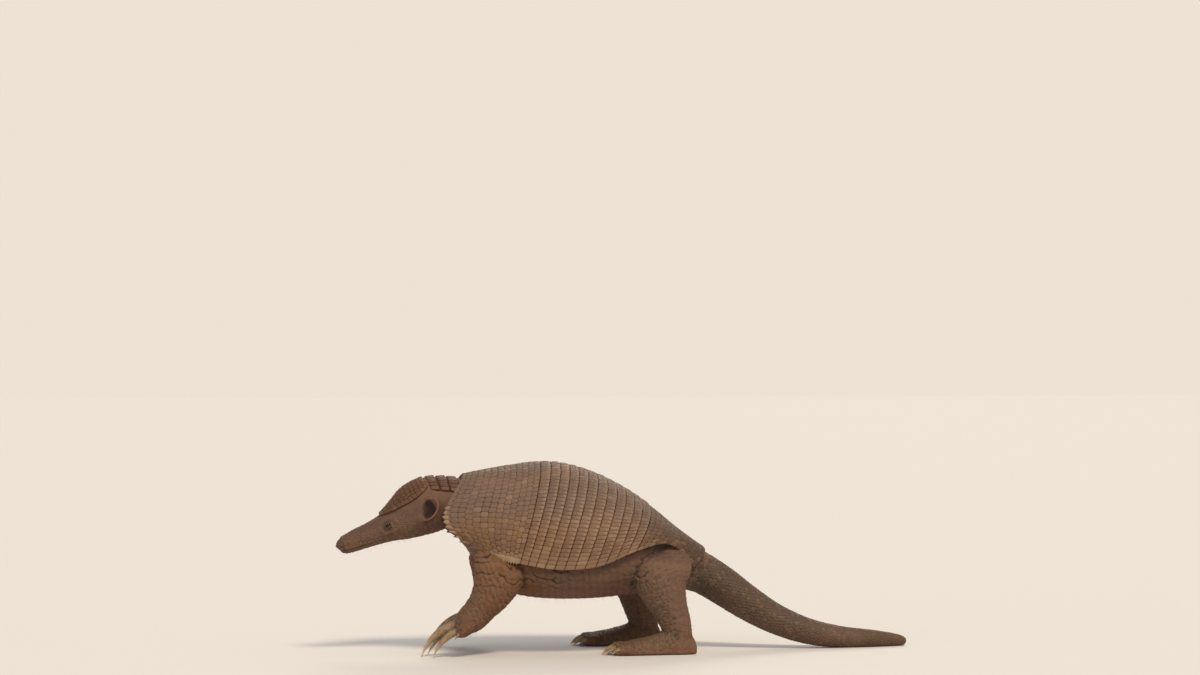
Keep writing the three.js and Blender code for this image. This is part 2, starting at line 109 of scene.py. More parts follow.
# Behind the floor the eye meets a backdrop of the floor's own tone, so that no horizon shows
backdrop = node(sky, "ShaderNodeBackground", {"Color": linear(BACKDROP_COLOUR), "Strength": 1.0})
seen = node(sky, "ShaderNodeLightPath").outputs["Is Camera Ray"]
given = {0: seen, 1: studio_light.outputs[0], 2: backdrop.outputs[0]}
both = node(sky, "ShaderNodeMixShader", given)
sky.links.new(both.outputs[0], sky.nodes["World Output"].inputs["Surface"])

for name, way, spread, strength, colour in LIGHTS:
    facing = Vector(way).to_track_quat("Z", "Y").to_euler()
    bpy.ops.object.light_add(type="SUN", location=way, rotation=facing)
    light = bpy.context.active_object
    light.name = name
    light.data.angle = math.radians(spread)
    light.data.energy = strength
    light.data.color = linear(colour)[:3]

# The camera stands seven metres off and level, a little above the animal's back
CAMERA_LENS = 100
CAMERA_BEARING = math.radians(-8)
CAMERA_DISTANCE = 7.09
CAMERA_SIDE = 0.068
CAMERA_HEIGHT = 0.665
AIM_BEHIND_SHIELD = 0.27

ahead = Vector((-math.sin(CAMERA_BEARING), math.cos(CAMERA_BEARING), 0))
right = Vector((ahead.y, -ahead.x, 0))
aim = Vector((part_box("shoulder_shield")[0].x + AIM_BEHIND_SHIELD, 0, CAMERA_HEIGHT))
bpy.ops.object.camera_add(
    location=aim - ahead * CAMERA_DISTANCE + right * CAMERA_SIDE,
    rotation=(math.radians(90), 0, CAMERA_BEARING),
)
camera = bpy.context.active_object
camera.data.lens = CAMERA_LENS
bpy.context.scene.camera = camera
bpy.context.scene.view_settings.view_transform = "Standard"

# ---------------------------------------------------------------------------------------------------
# The flesh and its skin: trunk, neck, head, ears, legs, feet and tail under one bare, leathery hide,
# wrinkled at the joints and throat. Each part is drawn through its sections, all of them are fused, and
# the face, the folds and the toes are then modelled in the one hide that results.

# Sizes are in millimetres, and x is measured from the foremost point of the shoulder shield
MM = 0.001
TAIL_ROOT_X = 550.4  # where the tail leaves the trunk
ORIGIN_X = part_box("tail_base")[0].x / MM - TAIL_ROOT_X

# x and z of the ridge, half width, x and z of the lower edge, z of the belly, front to rear
SHELL_ROWS = [
    [45, 377, 96, 72, 221, 198],
    [135, 392, 129, 112, 203, 140],
    [225, 400, 150, 162, 192, 120],
    [300, 386, 161, 232, 182, 112],
    [375, 353, 163, 314, 188, 112],
    [440, 310, 150, 397, 219, 118],
    [502, 257, 116, 471, 230, 124],
    [556, 218, 66, 530, 178, 126],
]
# Where the bands begin and end, as shares of the shell's length
BANDS_FROM = 1.78 / 7
BANDS_TO = 4.94 / 7
LOBE = 62  # how far the shoulder shield reaches forward beside the neck
FLESH_LOBE = 0.35  # the share of that which the flesh under it follows
REAR_BOW = 9  # how far the rear edge of a plate bows back between the ridge and the lower edge
SHELL_RUN = 600  # length of the shell, for the little that a scute reaches beyond its ends
# x and z of the centre, pitch, up, down, half width
NECK_ROWS = [[42, 301, 0, 63, 62, 70], [15, 308, 12, 62, 62, 66], [-16, 315, 24.4, 58, 60, 62]]
# Along the head, up, down, half width
HEAD_ROWS = [
    [0, 58, 60, 62],
    [28, 58, 58, 61],
    [58, 52, 52, 54],
    [88, 37, 45, 45],
    [114, 26, 37, 37],
    [145, 22, 31, 30],
    [182, 21, 26, 26],
    [210, 17, 22, 23],
    [222, 11, 17, 17],
    [225, 5, 9, 9],
]
# x, y and z of the centre, half width, half height
TAIL_ROWS = [
    [550, 0, 167, 49, 43],
    [600, -2, 136, 46, 41],
    [655, -6, 98, 40, 37],
    [715, -12, 63, 34, 32],
    [785, -17, 36, 28.5, 27.5],
    [860, -16, 22.2, 24, 23],
    [935, -8, 17.2, 18.6, 18],
    [990, 4, 11.8, 12.6, 12.4],
    [1008, 10, 7.8, 6.5, 6.5],
]
# x, y outwards, z, half length, half width, from the body down
FORELEG_ROWS = [
    [128, 88, 240, 54, 34],
    [122, 106, 192, 60, 38],
    [113, 115, 152, 50, 36],
    [100, 115, 120, 40, 33],
    [85, 112, 96, 32, 31],
    [67, 110, 79, 31, 37],
    [50, 108, 65, 24, 41],
    [39, 107, 57, 14, 38],
]
HINDLEG_ROWS = [
    [462, 84, 222, 56, 34],
    [452, 104, 188, 64, 38],
    [445, 113, 148, 55, 36],
    [456, 115, 100, 40, 30],
    [472, 115, 50, 31, 26],
    [474, 115, 30, 27, 25],
]
# From heel to toes: x, half width, height
HINDFOOT_ROWS = [
    [512, 13, 20],
    [503, 23, 38],
    [482, 29, 52],
    [452, 31, 52],
    [418, 34, 40],
    [382, 37, 32],
    [352, 38, 26],
    [336, 34, 17],
]
# y outwards from the middle of the foot, x and z of the root, length, width, depth, pitch at root and tip
FORE_CLAWS = [
    [-34, 44, 57, 42, 10, 10, 20, 62],
    [-19, 43, 59, 92, 15, 15, 15, 68],
    [1, 46, 66, 113, 27, 24, 5, 72],
    [25, 45, 57, 86, 21, 19, 15, 72],
    [39, 50, 57, 30, 11, 11, 25, 60],
]
HIND_CLAWS = [
    [-29, 346, 14, 26, 13, 11, 8, 52],
    [-15, 342, 16, 32, 15, 13, 8, 50],
    [1, 340, 17, 35, 16, 14, 8, 48],
    [17, 342, 16, 32, 15, 13, 8, 50],
    [31, 348, 14, 24, 13, 11, 8, 52],
]
# How far each foot is set ahead of (-) or behind (+) the square stance
STRIDES = {"fore": {"left": -14, "right": 22}, "hind": {"left": 16, "right": -20}}
SIDES = {"left": -1, "right": 1}


def smooth(rows, place):
    """Values on the smooth line through the rows of a table, at places given in rows."""
    rows = np.asarray(rows, float)
    last = len(rows) - 1
    place = np.clip(np.asarray(place, float), 0, last)
    k = np.clip(np.floor(place).astype(int), 0, last - 1)
    t = (place - k)[..., None]
    a, b, c, d = (rows[np.clip(k + i, 0, last)] for i in (-1, 0, 1, 2))
    return b + 0.5 * t * (c - a + t * (2 * a - 5 * b + 4 * c - d + t * (3 * (b - c) + d - a)))


def near(value, middle, width):
    """A bell round a middle value."""
    return np.exp(-(((value - middle) / width) ** 2))


def ramp(value, low, high):
    """Nought below low, one above high, smooth between; low may be the larger."""
    t = np.clip((value - low) / (high - low), 0, 1)
    return t * t * (3 - 2 * t)


def shell_point(place, angle, height, lobe_share=1.0):
    """Points of the shell: place 0 to 1 from front to rear, angle from its ridge, height over it."""
    place, angle, height = np.broadcast_arrays(*(np.asarray(v, float) for v in (place, angle, height)))
    row = smooth(SHELL_ROWS, place * (len(SHELL_ROWS) - 1))
    ridge_x, ridge_z, half, edge_x, edge_z = (row[..., i] for i in range(5))
    beyond = (place - np.clip(place, 0, 1)) * SHELL_RUN
    place = np.clip(place, 0, 1)
    sin, cos = np.sin(angle), np.cos(angle)
    rise = ridge_z - edge_z
    out = np.hypot(rise * sin, half * cos)
    forward = lobe_share * LOBE * np.maximum(0, 1 - place / BANDS_FROM) ** 1.5
    lobe = forward * np.sin(np.pi * np.minimum(1, np.abs(angle / (np.pi / 2))) ** 2.2)
    bow = REAR_BOW * np.abs(np.sin(2 * angle)) * place
    x = edge_x + (ridge_x - edge_x) * cos - lobe + bow
    y = sin * half + height * rise * sin / out
    z = edge_z + rise * cos + height * half * cos / out
    return np.stack([x + beyond, y, z], -1)


def turn_about(centre_x, centre_z, pitch, across, up):
    """Points of a section that leans head down by the pitch, in degrees."""
    lean = np.radians(pitch)
    return np.stack([centre_x - up * np.sin(lean), across, centre_z + up * np.cos(lean)], -1)


HEAD_X, HEAD_Z, HEAD_PITCH = NECK_ROWS[-1][:3]


def head_row(along):
    """Up, down and half width of the head at distances along it."""
    marks = [row[0] for row in HEAD_ROWS]
    return smooth([row[1:] for row in HEAD_ROWS], np.interp(along, marks, range(len(marks))))


def head_point(along, across, up):
    """Points given by their distances along the head, across it and up from its axis."""
    lean = math.radians(HEAD_PITCH)
    x = HEAD_X - along * math.cos(lean) - up * math.sin(lean)
    z = HEAD_Z - along * math.sin(lean) + up * math.cos(lean)
    return np.stack(np.broadcast_arrays(x, across, z), -1)


def egg(angle, up, down, half):
    """Across and up on an egg-shaped section, at angles from its top."""
    return np.sin(angle) * half, np.cos(angle) * np.where(np.cos(angle) > 0, up, down)


def to_metres(points):
    """Places in the frame that all pieces share."""
    return (np.asarray(points) + [ORIGIN_X, 0, 0]) * MM


def loft(name, rings):
    """A closed body drawn through rings of points in millimetres, each end closed by a fan."""
    rings = to_metres(rings)
    count, sides = rings.shape[:2]
    grid = np.arange(count * sides).reshape(count, sides)
    faces = []
    for ring, following in zip(grid, grid[1:]):
        faces += np.stack([ring, np.roll(ring, -1), np.roll(following, -1), following], -1).tolist()
    points = rings.reshape(-1, 3).tolist()
    for ring, middle in ((grid[0][::-1], rings[0].mean(0)), (grid[-1], rings[-1].mean(0))):
        hub = len(points)
        points.append(middle.tolist())
        faces += [[a, b, hub] for a, b in zip(ring.tolist(), np.roll(ring, -1).tolist())]
    mesh = bpy.data.meshes.new(name)
    mesh.from_pydata(points, [], faces)
    body = bpy.data.objects.new(name, mesh)
    bpy.context.collection.objects.link(body)
    return body


def select_only(*pieces):
    """Selects these pieces and no others; the first is the active one."""
    bpy.ops.object.select_all(action="DESELECT")
    for piece in pieces:
        piece.select_set(True)
    bpy.context.view_layer.objects.active = pieces[0]


def modify(piece, kind, **settings):
    """Adds a modifier with its settings and applies it."""
    select_only(piece)
    modifier = piece.modifiers.new(kind, kind)
    for key, value in settings.items():
        setattr(modifier, key, value)
    bpy.ops.object.modifier_apply(modifier=modifier.name)


BEDDING = 7.6  # how deep the flesh lies under the shell's surface
SKIN_FOLD = 9  # how far it is drawn in at the shell's lower edge
EDGE_WALL = 6  # the shell's own thickness there
BACK_STEPS = 31
BELLY_STEPS = 20
BELLY_WIDE = 0.72  # under one, both make the belly fuller than half an egg
BELLY_DEEP = 0.85
ROUND = np.linspace(0, 2 * np.pi, 48, endpoint=False)


def trunk_ring(place):
    """The trunk under the shell, drawn in at its edge and round below."""
    half, edge_x, edge_z, belly_z = smooth(SHELL_ROWS, place * (len(SHELL_ROWS) - 1))[2:]
    share = FLESH_LOBE if place < 0.1 else 1.0
    arch = np.radians(np.linspace(-90, 90, BACK_STEPS))
    depth = BEDDING + SKIN_FOLD * (np.abs(arch) == arch[-1])
    top = shell_point(place, arch, -depth, share)
    turn = np.pi * np.arange(1, BELLY_STEPS) / BELLY_STEPS
    inside = half - EDGE_WALL - SKIN_FOLD
    across = np.sign(np.cos(turn)) * np.abs(np.cos(turn)) ** BELLY_WIDE * inside
    drop = edge_z - (edge_z - belly_z) * np.sin(turn) ** BELLY_DEEP
    belly = np.stack([np.full_like(turn, edge_x), across, drop], -1)
    return np.concatenate([top, belly])


def trunk_end(x, z, up, down, half):
    """A last section of the trunk, inside the neck or the tail."""
    back, belly = np.linspace(-90, 90, BACK_STEPS), np.linspace(90, 270, BELLY_STEPS + 1)[1:-1]
    turn = np.radians(np.concatenate([back, belly]))
    across, rise = egg(turn, up, down, half)
    return np.stack([np.full_like(turn, x), across, z + rise], -1)


LEG_TUCK = 13  # how far the top of a leg is drawn in under the shell's edge
LEG_DOME = [4, -26, 34]  # how far its top reaches beyond its first section: to the rear, outwards, up


def limb_surface(rows, side, stride):
    """The surface of a leg: place in rows of its table, angle round it from the rear, height over it.

    Sections are square to the leg's run, and the stride grows from the body to the foot.
    """

    def middle(place):
        x, out, z, long, wide = np.moveaxis(smooth(rows, place), -1, 0)
        out = out - LEG_TUCK * ramp(z, 186, 216)
        return x + stride * np.clip(place / 3.5, 0, 1), out, z, long, wide

    def surface(place, angle, height):
        place, angle, height = np.broadcast_arrays(place, angle, height)
        x, out, z, long, wide = middle(place)
        before = middle(np.maximum(place - 0.06, 0))
        after = middle(np.minimum(place + 0.06, len(rows) - 1))
        lean = np.arctan2(after[0] - before[0], before[2] - after[2])
        swing = np.cos(angle) * (long + height)
        across = side * out + np.sin(angle) * (wide + height)
        return np.stack([x + swing * np.cos(lean), across, z + swing * np.sin(lean)], -1)

    return surface


def limb_rings(rows, side, stride, count):
    """Rings down a leg, with a dome over its top that leans in against the trunk."""
    place = np.linspace(0, len(rows) - 1, count)[:, None]
    rings = limb_surface(rows, side, stride)(place, ROUND[None], 0.0)
    middle = rings[0].mean(0)
    crest = np.array(LEG_DOME) * [1, side, 1]
    dome = []
    for turn in np.radians([82, 62, 42, 22]):
        dome.append(middle + (rings[0] - middle) * math.cos(turn) + crest * math.sin(turn))
    return np.concatenate([dome, rings])


def tail_rings(count):
    """Rings down the tail, square to its run, from inside the rump."""
    place = np.linspace(0, len(TAIL_ROWS) - 1, count)[:, None]
    x, y, z, half, up = np.moveaxis(smooth(TAIL_ROWS, place), -1, 0)
    fall = np.arctan2(-np.gradient(z, axis=0), np.gradient(x, axis=0))
    rise = np.cos(ROUND) * up
    rings = np.stack([x + rise * np.sin(fall), y + np.sin(ROUND) * half, z + rise * np.cos(fall)], -1)
    return np.concatenate([[rings[0] + [-25, 0, 14]], rings])


def ball(centre, radii, pitch=0.0):
    """An egg-shaped lump of flesh, from a sphere primitive; radii run along, across and up."""
    bpy.ops.object.select_all(action="DESELECT")
    turn = (0, math.radians(pitch), 0)
    bpy.ops.mesh.primitive_uv_sphere_add(
        segments=24, ring_count=14, radius=1, location=to_metres(centre), rotation=turn
    )
    lump = bpy.context.active_object
    lump.scale = [r * MM for r in radii]
    bpy.ops.object.transform_apply(location=True, rotation=True, scale=True)
    return lump


# The trunk ends inside the root of the neck and at that of the tail
CHEST_END = 36
RUMP_END = 551
SHOULDER_SECTIONS = [0.05, 0.12, 0.2]
_, neck_z, _, neck_up, neck_down, neck_half = NECK_ROWS[0]
_, _, tail_z, tail_half, tail_up = TAIL_ROWS[0]
trunk_rings = [trunk_end(CHEST_END, neck_z, neck_up, neck_down, neck_half)]
for place in np.concatenate([SHOULDER_SECTIONS, np.linspace(BANDS_FROM, 0.97, 22)]):
    trunk_rings.append(trunk_ring(place))
trunk_rings.append(trunk_end(RUMP_END, tail_z, tail_up, tail_up, tail_half))
flesh = [loft("trunk_flesh", trunk_rings)]
neck_rings = []
for place in np.linspace(0, 2, 9):
    x, z, pitch, up, down, half = smooth(NECK_ROWS, place)
    across, rise = egg(ROUND, up, down, half)
    neck_rings.append(turn_about(x, z, pitch, across, rise))
flesh.append(loft("neck_flesh", [neck_rings[0] + [20, 0, 0], *neck_rings, neck_rings[-1] + [-12, 0, -5]]))
head_rings = []
for along in np.concatenate([np.linspace(-10, 214, 44), [218, 221, 223, 224.5, 225.2]]):
    up, down, half = head_row(max(along, 0))
    across, rise = egg(ROUND, up, down, half)
    head_rings.append(head_point(along, across, rise))
flesh.append(loft("head_flesh", head_rings))
flesh.append(loft("tail_flesh", tail_rings(90)))

HAND_Y = 107
SOLE_Y = 115
# Below, a sole: across in half widths, and height
SOLE_ROUND = [[-0.93, 1.6], [-0.8, 0.2], [-0.4, 0], [0.4, 0], [0.8, 0.2], [0.93, 1.6]]
for word, side in SIDES.items():
    fore, hind = STRIDES["fore"][word], STRIDES["hind"][word]
    flesh.append(loft(f"foreleg_flesh_{word}", limb_rings(FORELEG_ROWS, side, fore, 50)))
    flesh.append(loft(f"hindleg_flesh_{word}", limb_rings(HINDLEG_ROWS, side, hind, 40)))
    turn = np.linspace(0, np.pi, 21)
    foot = []
    for x, half, height in smooth(HINDFOOT_ROWS, np.linspace(0, len(HINDFOOT_ROWS) - 1, 30)):
        over = np.stack([np.cos(turn) * half, 5 + np.sin(turn) ** 0.8 * (height - 5)], -1)
        across, rise = np.concatenate([over, np.array(SOLE_ROUND) * [half, 1]]).T
        foot.append(np.stack([np.full_like(across, x + hind), side * SOLE_Y + across, rise], -1))
    flesh.append(loft(f"sole_flesh_{word}", foot))
    # Each toe is a lump of flesh that its claw grows from
    for y, x, z, _, width, depth, pitch, _ in FORE_CLAWS:
        toe = [x + 4 + fore, side * (HAND_Y + y), z + 1.0]
        flesh.append(ball(toe, [23, width * 0.66 + 2.5, depth * 0.7 + 3.5], -pitch - 8))
    for y, x, z, _, width, depth, pitch, _ in HIND_CLAWS:
        toe = [x + 9 + hind, side * (SOLE_Y + y), max(z - 1, depth * 0.8)]
        flesh.append(ball(toe, [21, width * 0.62 + 2, depth * 0.8 + 2], -4))

# The ear: a leaf rolled into a cup, open outwards and forwards, on a short stalk
EAR = {"along": 42, "up": -14, "out": 51, "length": 62, "width": 21, "depth": 0.62, "wall": 4.4}
EAR_STALK = [12, 11, 12]
EAR_AXIS = [0.5, 0.5, 0.7]
EAR_BACK = [0.6, -0.79, 0.13]
# The share of its length, of its width, and the half angle that it wraps round
EAR_ROWS = [
    [0, 0.5, 150],
    [0.16, 0.8, 128],
    [0.4, 1, 104],
    [0.66, 0.95, 92],
    [0.88, 0.62, 84],
    [1, 0.22, 70],
]


def ear_frame(side):
    """Root of an ear and its three directions: along it, across it and out of its closed side."""
    axis = np.array(EAR_AXIS) * [1, side, 1]
    axis /= np.linalg.norm(axis)
    across = np.cross(np.array(EAR_BACK) * [1, side, 1], axis)
    across /= np.linalg.norm(across)
    root = head_point(EAR["along"], side * EAR["out"], EAR["up"])
    return root, np.array([axis, across, np.cross(axis, across)])


def ear_leaf(side):
    """The leaf of an ear as one closed tube: round the outside, over the rim and back inside."""
    root, directions = ear_frame(side)
    rings = []
    marks = [row[0] for row in EAR_ROWS]
    for share in np.linspace(0, 1, 26):
        _, width, wrap = smooth(EAR_ROWS, np.interp(share, marks, range(len(marks))))
        turn = math.radians(wrap) * np.linspace(-1, 1, 24)
        outside = EAR["width"] * width
        inside = max(outside - EAR["wall"], 0.8)
        ring = []
        for radius, turns, reach in ((outside, turn, 0), (inside, turn[::-1], EAR["wall"] * share)):
            wide = np.sin(turns) * radius
            deep = np.cos(turns) * radius * EAR["depth"]
            ring.append(np.stack([np.full_like(wide, share * EAR["length"] - reach), wide, deep], -1))
        rings.append(np.concatenate(ring) @ directions + root)
    return loft("ear_flesh", rings)


for side in SIDES.values():
    flesh.append(ear_leaf(side))
    root, directions = ear_frame(side)
    flesh.append(ball(root + directions[0] * 1.5 + directions[2], EAR_STALK))

select_only(*flesh)
bpy.ops.object.join()
skin = bpy.context.active_object
skin.name = "skin"
FLESH_GRAIN = 2.3  # the finest form that the fused flesh keeps
modify(skin, "REMESH", mode="VOXEL", voxel_size=FLESH_GRAIN * MM, use_smooth_shade=True)


def places(piece):
    """The vertices of a piece, in millimetres behind the foremost point of the shoulder shield."""
    found = np.empty(len(piece.data.vertices) * 3, np.float32)
    piece.data.vertices.foreach_get("co", found)
    return found.reshape(-1, 3).astype(float) / MM - [ORIGIN_X, 0, 0]


def put(piece, points):
    """Moves the vertices of a piece to places given as by the function above."""
    piece.data.vertices.foreach_set("co", to_metres(points).astype(np.float32).ravel())
    piece.data.update()


def normals(piece):
    """The way out of the surface at each vertex."""
    found = np.empty(len(piece.data.vertices) * 3, np.float32)
    piece.data.vertex_normals.foreach_get("vector", found)
    return found.reshape(-1, 3).astype(float)


def in_head(points):
    """Distance along the head, across it and up from its axis."""
    lean = math.radians(HEAD_PITCH)
    x, z = points[:, 0] - HEAD_X, points[:, 2] - HEAD_Z
    along = -x * math.cos(lean) - z * math.sin(lean)
    return along, points[:, 1], -x * math.sin(lean) + z * math.cos(lean)


def ear_share(points):
    """One on the leaf of an ear, nought away from it."""
    share = np.zeros(len(points))
    for side in SIDES.values():
        root, directions = ear_frame(side)
        run, wide, deep = ((points - root) @ directions.T).T
        inside = (run > 3) & (run < 70) & (np.abs(wide) < 26) & (deep > -16) & (deep < 17)
        share = np.maximum(share, inside * np.clip((run - 3) / 8, 0, 1))
    along, across, up = in_head(points)
    over, under, half = head_row(np.clip(along, 0, 225)).T
    off_head = np.hypot(across / half, up / np.where(up > 0, over, under))
    return share * np.clip((off_head - 1.05) / 0.1, 0, 1)


def weigh(piece, name, weights):
    """A vertex group with a weight for each vertex, in steps of an eighth."""
    group = piece.vertex_groups.new(name=name)
    steps = np.round(np.clip(weights, 0, 1) * 8).astype(int)
    for step in range(1, 9):
        group.add(np.nonzero(steps == step)[0].tolist(), step / 8, "REPLACE")


def refine(piece, chosen):
    """Halves the edges of the chosen vertices' faces."""
    select_only(piece)
    bpy.ops.object.mode_set(mode="EDIT")
    bpy.ops.mesh.select_all(action="DESELECT")
    bpy.ops.object.mode_set(mode="OBJECT")
    piece.data.vertices.foreach_set("select", chosen)
    bpy.ops.object.mode_set(mode="EDIT")
    bpy.ops.mesh.subdivide(number_cuts=1)
    bpy.ops.object.mode_set(mode="OBJECT")


# The voxels' steps are smoothed away, least on the ears, and the joints of the limbs are softened
points = places(skin)
x, _, z = points.T
toes = ramp(z, 75, 45) * (ramp(x, 95, 70) + ramp(x, 330, 350) * ramp(x, 420, 390))
weigh(skin, "soften", 1 - np.maximum(ear_share(points), 0.8 * toes))
modify(skin, "SMOOTH", factor=0.5, iterations=3)
modify(skin, "SMOOTH", factor=0.6, iterations=12, vertex_group="soften")

# The head and ears are worked twice as finely as the body
along, across, up = in_head(places(skin))
fine = (along > 30) | (ear_share(places(skin)) > 0)
bpy.context.tool_settings.mesh_select_mode = (True, False, False)
refine(skin, fine)
weigh(skin, "fine", ((in_head(places(skin))[0] > 26) | (ear_share(places(skin)) > 0)) * 1.0)
modify(skin, "SMOOTH", factor=0.5, iterations=2, vertex_group="fine")


def grain(points, size, seed):
    """Smooth random values from about -1 to 1, over points in millimetres."""
    return np.array([noise.noise(Vector(p)) for p in (points / size + seed).tolist()])


def creases(run, spacing):
    """Rounded ridges with sharp valleys between: nought on a ridge, one in a valley."""
    return 1 - np.abs(np.sin(np.pi * run / spacing)) ** 0.55


def cells(points, size, seed):
    """Nought in the cracks of a leathery net and one in its meshes, over points in millimetres."""
    found = (noise.voronoi(Vector(p))[0][:2] for p in (points / size + seed).tolist())
    return ramp(np.array([b - a for a, b in found]), 0.0, 0.3)


# The eye: lids that lie on the ball, an opening like an almond and a hollow round them
EYE_ALONG = 108
EYE_UP = -1
EYE_SUNK = 4
EYE_RADIUS = 6.7
LID = 1.1
EYE_OPEN = {"long": 6.0, "over": 3.3, "under": 3.0}
EYE_FACES = [-0.34, 0.93, 0.16]


def eye_centre(side):
    """The middle of an eyeball."""
    half = head_row(EYE_ALONG)[2]
    return head_point(EYE_ALONG, side * (half - EYE_SUNK), EYE_UP)


def eye_directions(side):
    """Forwards along the lids, up across them, and out of the eye."""
    out = np.array(EYE_FACES) * [1, side, 1]
    out /= np.linalg.norm(out)
    lean = math.radians(HEAD_PITCH + 6)
    forward = np.array([-math.cos(lean), 0, -math.sin(lean)])
    forward -= out * (forward @ out)
    forward /= np.linalg.norm(forward)
    up_way = np.cross(forward, out) * -side
    return np.array([forward, up_way * np.sign(up_way[2]), out])


def model_eye(points, side):
    """Brow, hollow and bag round an eye, the lids over its ball and the opening between them."""
    centre, directions = eye_centre(side), eye_directions(side)
    ahead_of, over, out = ((points - centre) @ directions.T).T
    reach = np.hypot(ahead_of, over)
    close = (reach < 24) & (out > -9) & (points[:, 1] * side > 12)
    turn = np.arctan2(over, ahead_of)
    hollow = 1.0 * near(reach, 12.5, 4.5) + 0.9 * near(over, 7.5, 1.8) * near(ahead_of, -0.5, 7)
    brow = 1.7 * near(over, 12.5, 3.6) * near(ahead_of, -1, 11)
    bag = 0.6 * near(over, -10.5, 2.2) * near(ahead_of, 0, 8)
    bag -= 0.4 * near(over, -8.0, 1.2) * near(ahead_of, 0, 7)
    tear = 1.1 * near(ahead_of, 10.5, 4.5) * near(over, -1.2, 1.6)
    face = out - hollow + brow + bag - tear
    dome = np.sqrt(np.maximum((EYE_RADIUS + LID) ** 2 - (ahead_of * 0.86) ** 2 - over**2, 0))
    lids = np.where(reach < EYE_RADIUS + LID + 1.2, dome, 0)
    height = np.log(np.exp(face * 1.1) + np.exp(lids * 1.1)) / 1.1
    height -= 0.32 * creases(turn * 3.3 + 0.25 * reach, 1.0) * ramp(reach, 6.5, 9) * ramp(reach, 17, 11)
    height -= 0.3 * creases(reach + 0.5 * over, 2.1) * ramp(reach, 6.2, 7.5) * ramp(reach, 13, 9)
    tall = np.where(over > 0, EYE_OPEN["over"], EYE_OPEN["under"])
    opening = np.sqrt((ahead_of / EYE_OPEN["long"]) ** 2 + (over / tall) ** 2)
    height += 0.35 * near(opening, 1.22, 0.14)
    height -= 4.5 * ramp(opening, 1.05, 0.9)
    shift = np.where(close, height - out, 0) * ramp(reach, 24, 16) * ramp(out, -9, -5)
    return points + shift[:, None] * directions[2]


def model_face(points, ways):
    """Cheeks, jaw, lips, nostrils and the wrinkles of the snout and throat."""
    along, across, up = in_head(points)
    sideways = np.abs(across)
    down = head_row(np.clip(along, 0, 225))[:, 1]
    on_head = ramp(along, 18, 34)
    cheek = 3.0 * near(along, 66, 22) * near(up, -22, 16)
    jaw = -1.6 * near(along, 96, 16) * near(up, -30, 9)
    temple = -1.4 * near(along, 84, 14) * near(up, 14, 9) * ramp(sideways, 20, 30)
    lip = up + down - 9.5
    mouth = ramp(along, 126, 138)
    groove = -2.7 * near(lip, 0, 1.25) * mouth
    lips = 0.8 * near(lip, 2.6, 1.6) * mouth + 0.6 * near(lip, -2.6, 1.6) * mouth
    corner = -1.7 * near(along, 128, 4.5) * near(lip, -2.0, 4)
    corner += 1.0 * near(along, 121, 4) * near(lip, -1.0, 7)
    rim = -1.1 * near(along, 212.5, 1.5) * ramp(up, -14, -9)
    bulb = 0.7 * near(along, 206, 3.5) * ramp(up, -14, -9)
    wander = grain(points, 9, 3.1)
    snout = -0.55 * creases(along + 2.2 * wander, 5.2) * ramp(along, 122, 136) * ramp(along, 204, 192)
    snout *= 0.35 + 0.65 * ramp(lip, 3, 9)
    chin = -0.5 * creases(along + 2.5 * wander, 6.5) * ramp(along, 80, 110) * ramp(lip, -3, -7)
    face = -0.9 * creases(along * 0.7 + up * 0.8 + 5 * wander, 8.5) * near(along, 78, 26) * ramp(up, 22, 6)
    behind_eye = creases(0.5 * along - up + 6 * wander, 6.0) * near(along, 88, 13) * near(up, 2, 9)
    face -= 0.7 * behind_eye * ramp(sideways, 22, 32)
    face -= 0.35 * (1 - cells(points, 5.0, 5.0)) * ramp(along, 130, 100) * ramp(up, 26, 16)
    throat = -1.3 * creases(along + 5 * wander, 11) * ramp(along, 62, 34) * ramp(up, -18, -34)
    shift = (cheek + jaw + temple + groove + lips + corner + rim + bulb + snout + chin + face) * on_head
    shift += throat * ramp(along, -70, -40)
    points = points + shift[:, None] * ways
    # The chin is narrower than the snout and lies a little behind it
    back = 3.4 * ramp(along, 196, 222) * ramp(lip, 1, -2)
    lean = math.radians(HEAD_PITCH)
    points = points + back[:, None] * [math.cos(lean), 0, math.sin(lean)]
    points[:, 1] *= 1 - 0.1 * mouth * ramp(lip, 0.5, -3) * on_head
    for side in SIDES.values():
        span = np.hypot((across - side * 6.4) / 1.15, (up - 1.5 - 0.35 * (sideways - 6.4)))
        hole = 6.5 * ramp(span, 3.3, 1.6) * ramp(along, 214, 220)
        edge = -0.9 * near(span, 4.6, 1.2) * ramp(along, 214, 220)
        points = points + (hole + edge)[:, None] * [math.cos(lean), 0, math.sin(lean)]
    return points


def ear_hollow(points, ways):
    """One deep in the cup of an ear, nought outside it."""
    share = np.zeros(len(points))
    for side in SIDES.values():
        root, directions = ear_frame(side)
        run, wide, deep = ((points - root) @ directions.T).T
        inside = ramp(run, -4, 6) * ramp(run, 52, 30) * ramp(np.abs(wide), 17, 10)
        inside *= ramp(deep, -4, 2) * (deep < 16) * ramp(-(ways @ directions[2]), -0.2, 0.35)
        share = np.maximum(share, inside)
    return share


def model_ears(points, ways):
    """A cup that is hollowed between its rims, fine ribs inside it and a rough skin."""
    shift = -3.5 * ear_hollow(points, ways)
    for side in SIDES.values():
        root, directions = ear_frame(side)
        run, wide, deep = ((points - root) @ directions.T).T
        inside = (run > 3) & (run < 66) & (np.abs(wide) < 26) & (deep > -16) & (deep < 17)
        facing = ramp(-(ways @ directions[2]), 0.2, 0.7)
        ribs = -0.5 * creases(wide + 0.04 * run * wide + grain(points, 12, side) * 2, 4.6) * facing
        rough = 0.25 * grain(points, 2.6, 7 + side)
        shift += inside * (ribs + rough)
    return points + shift[:, None] * ways


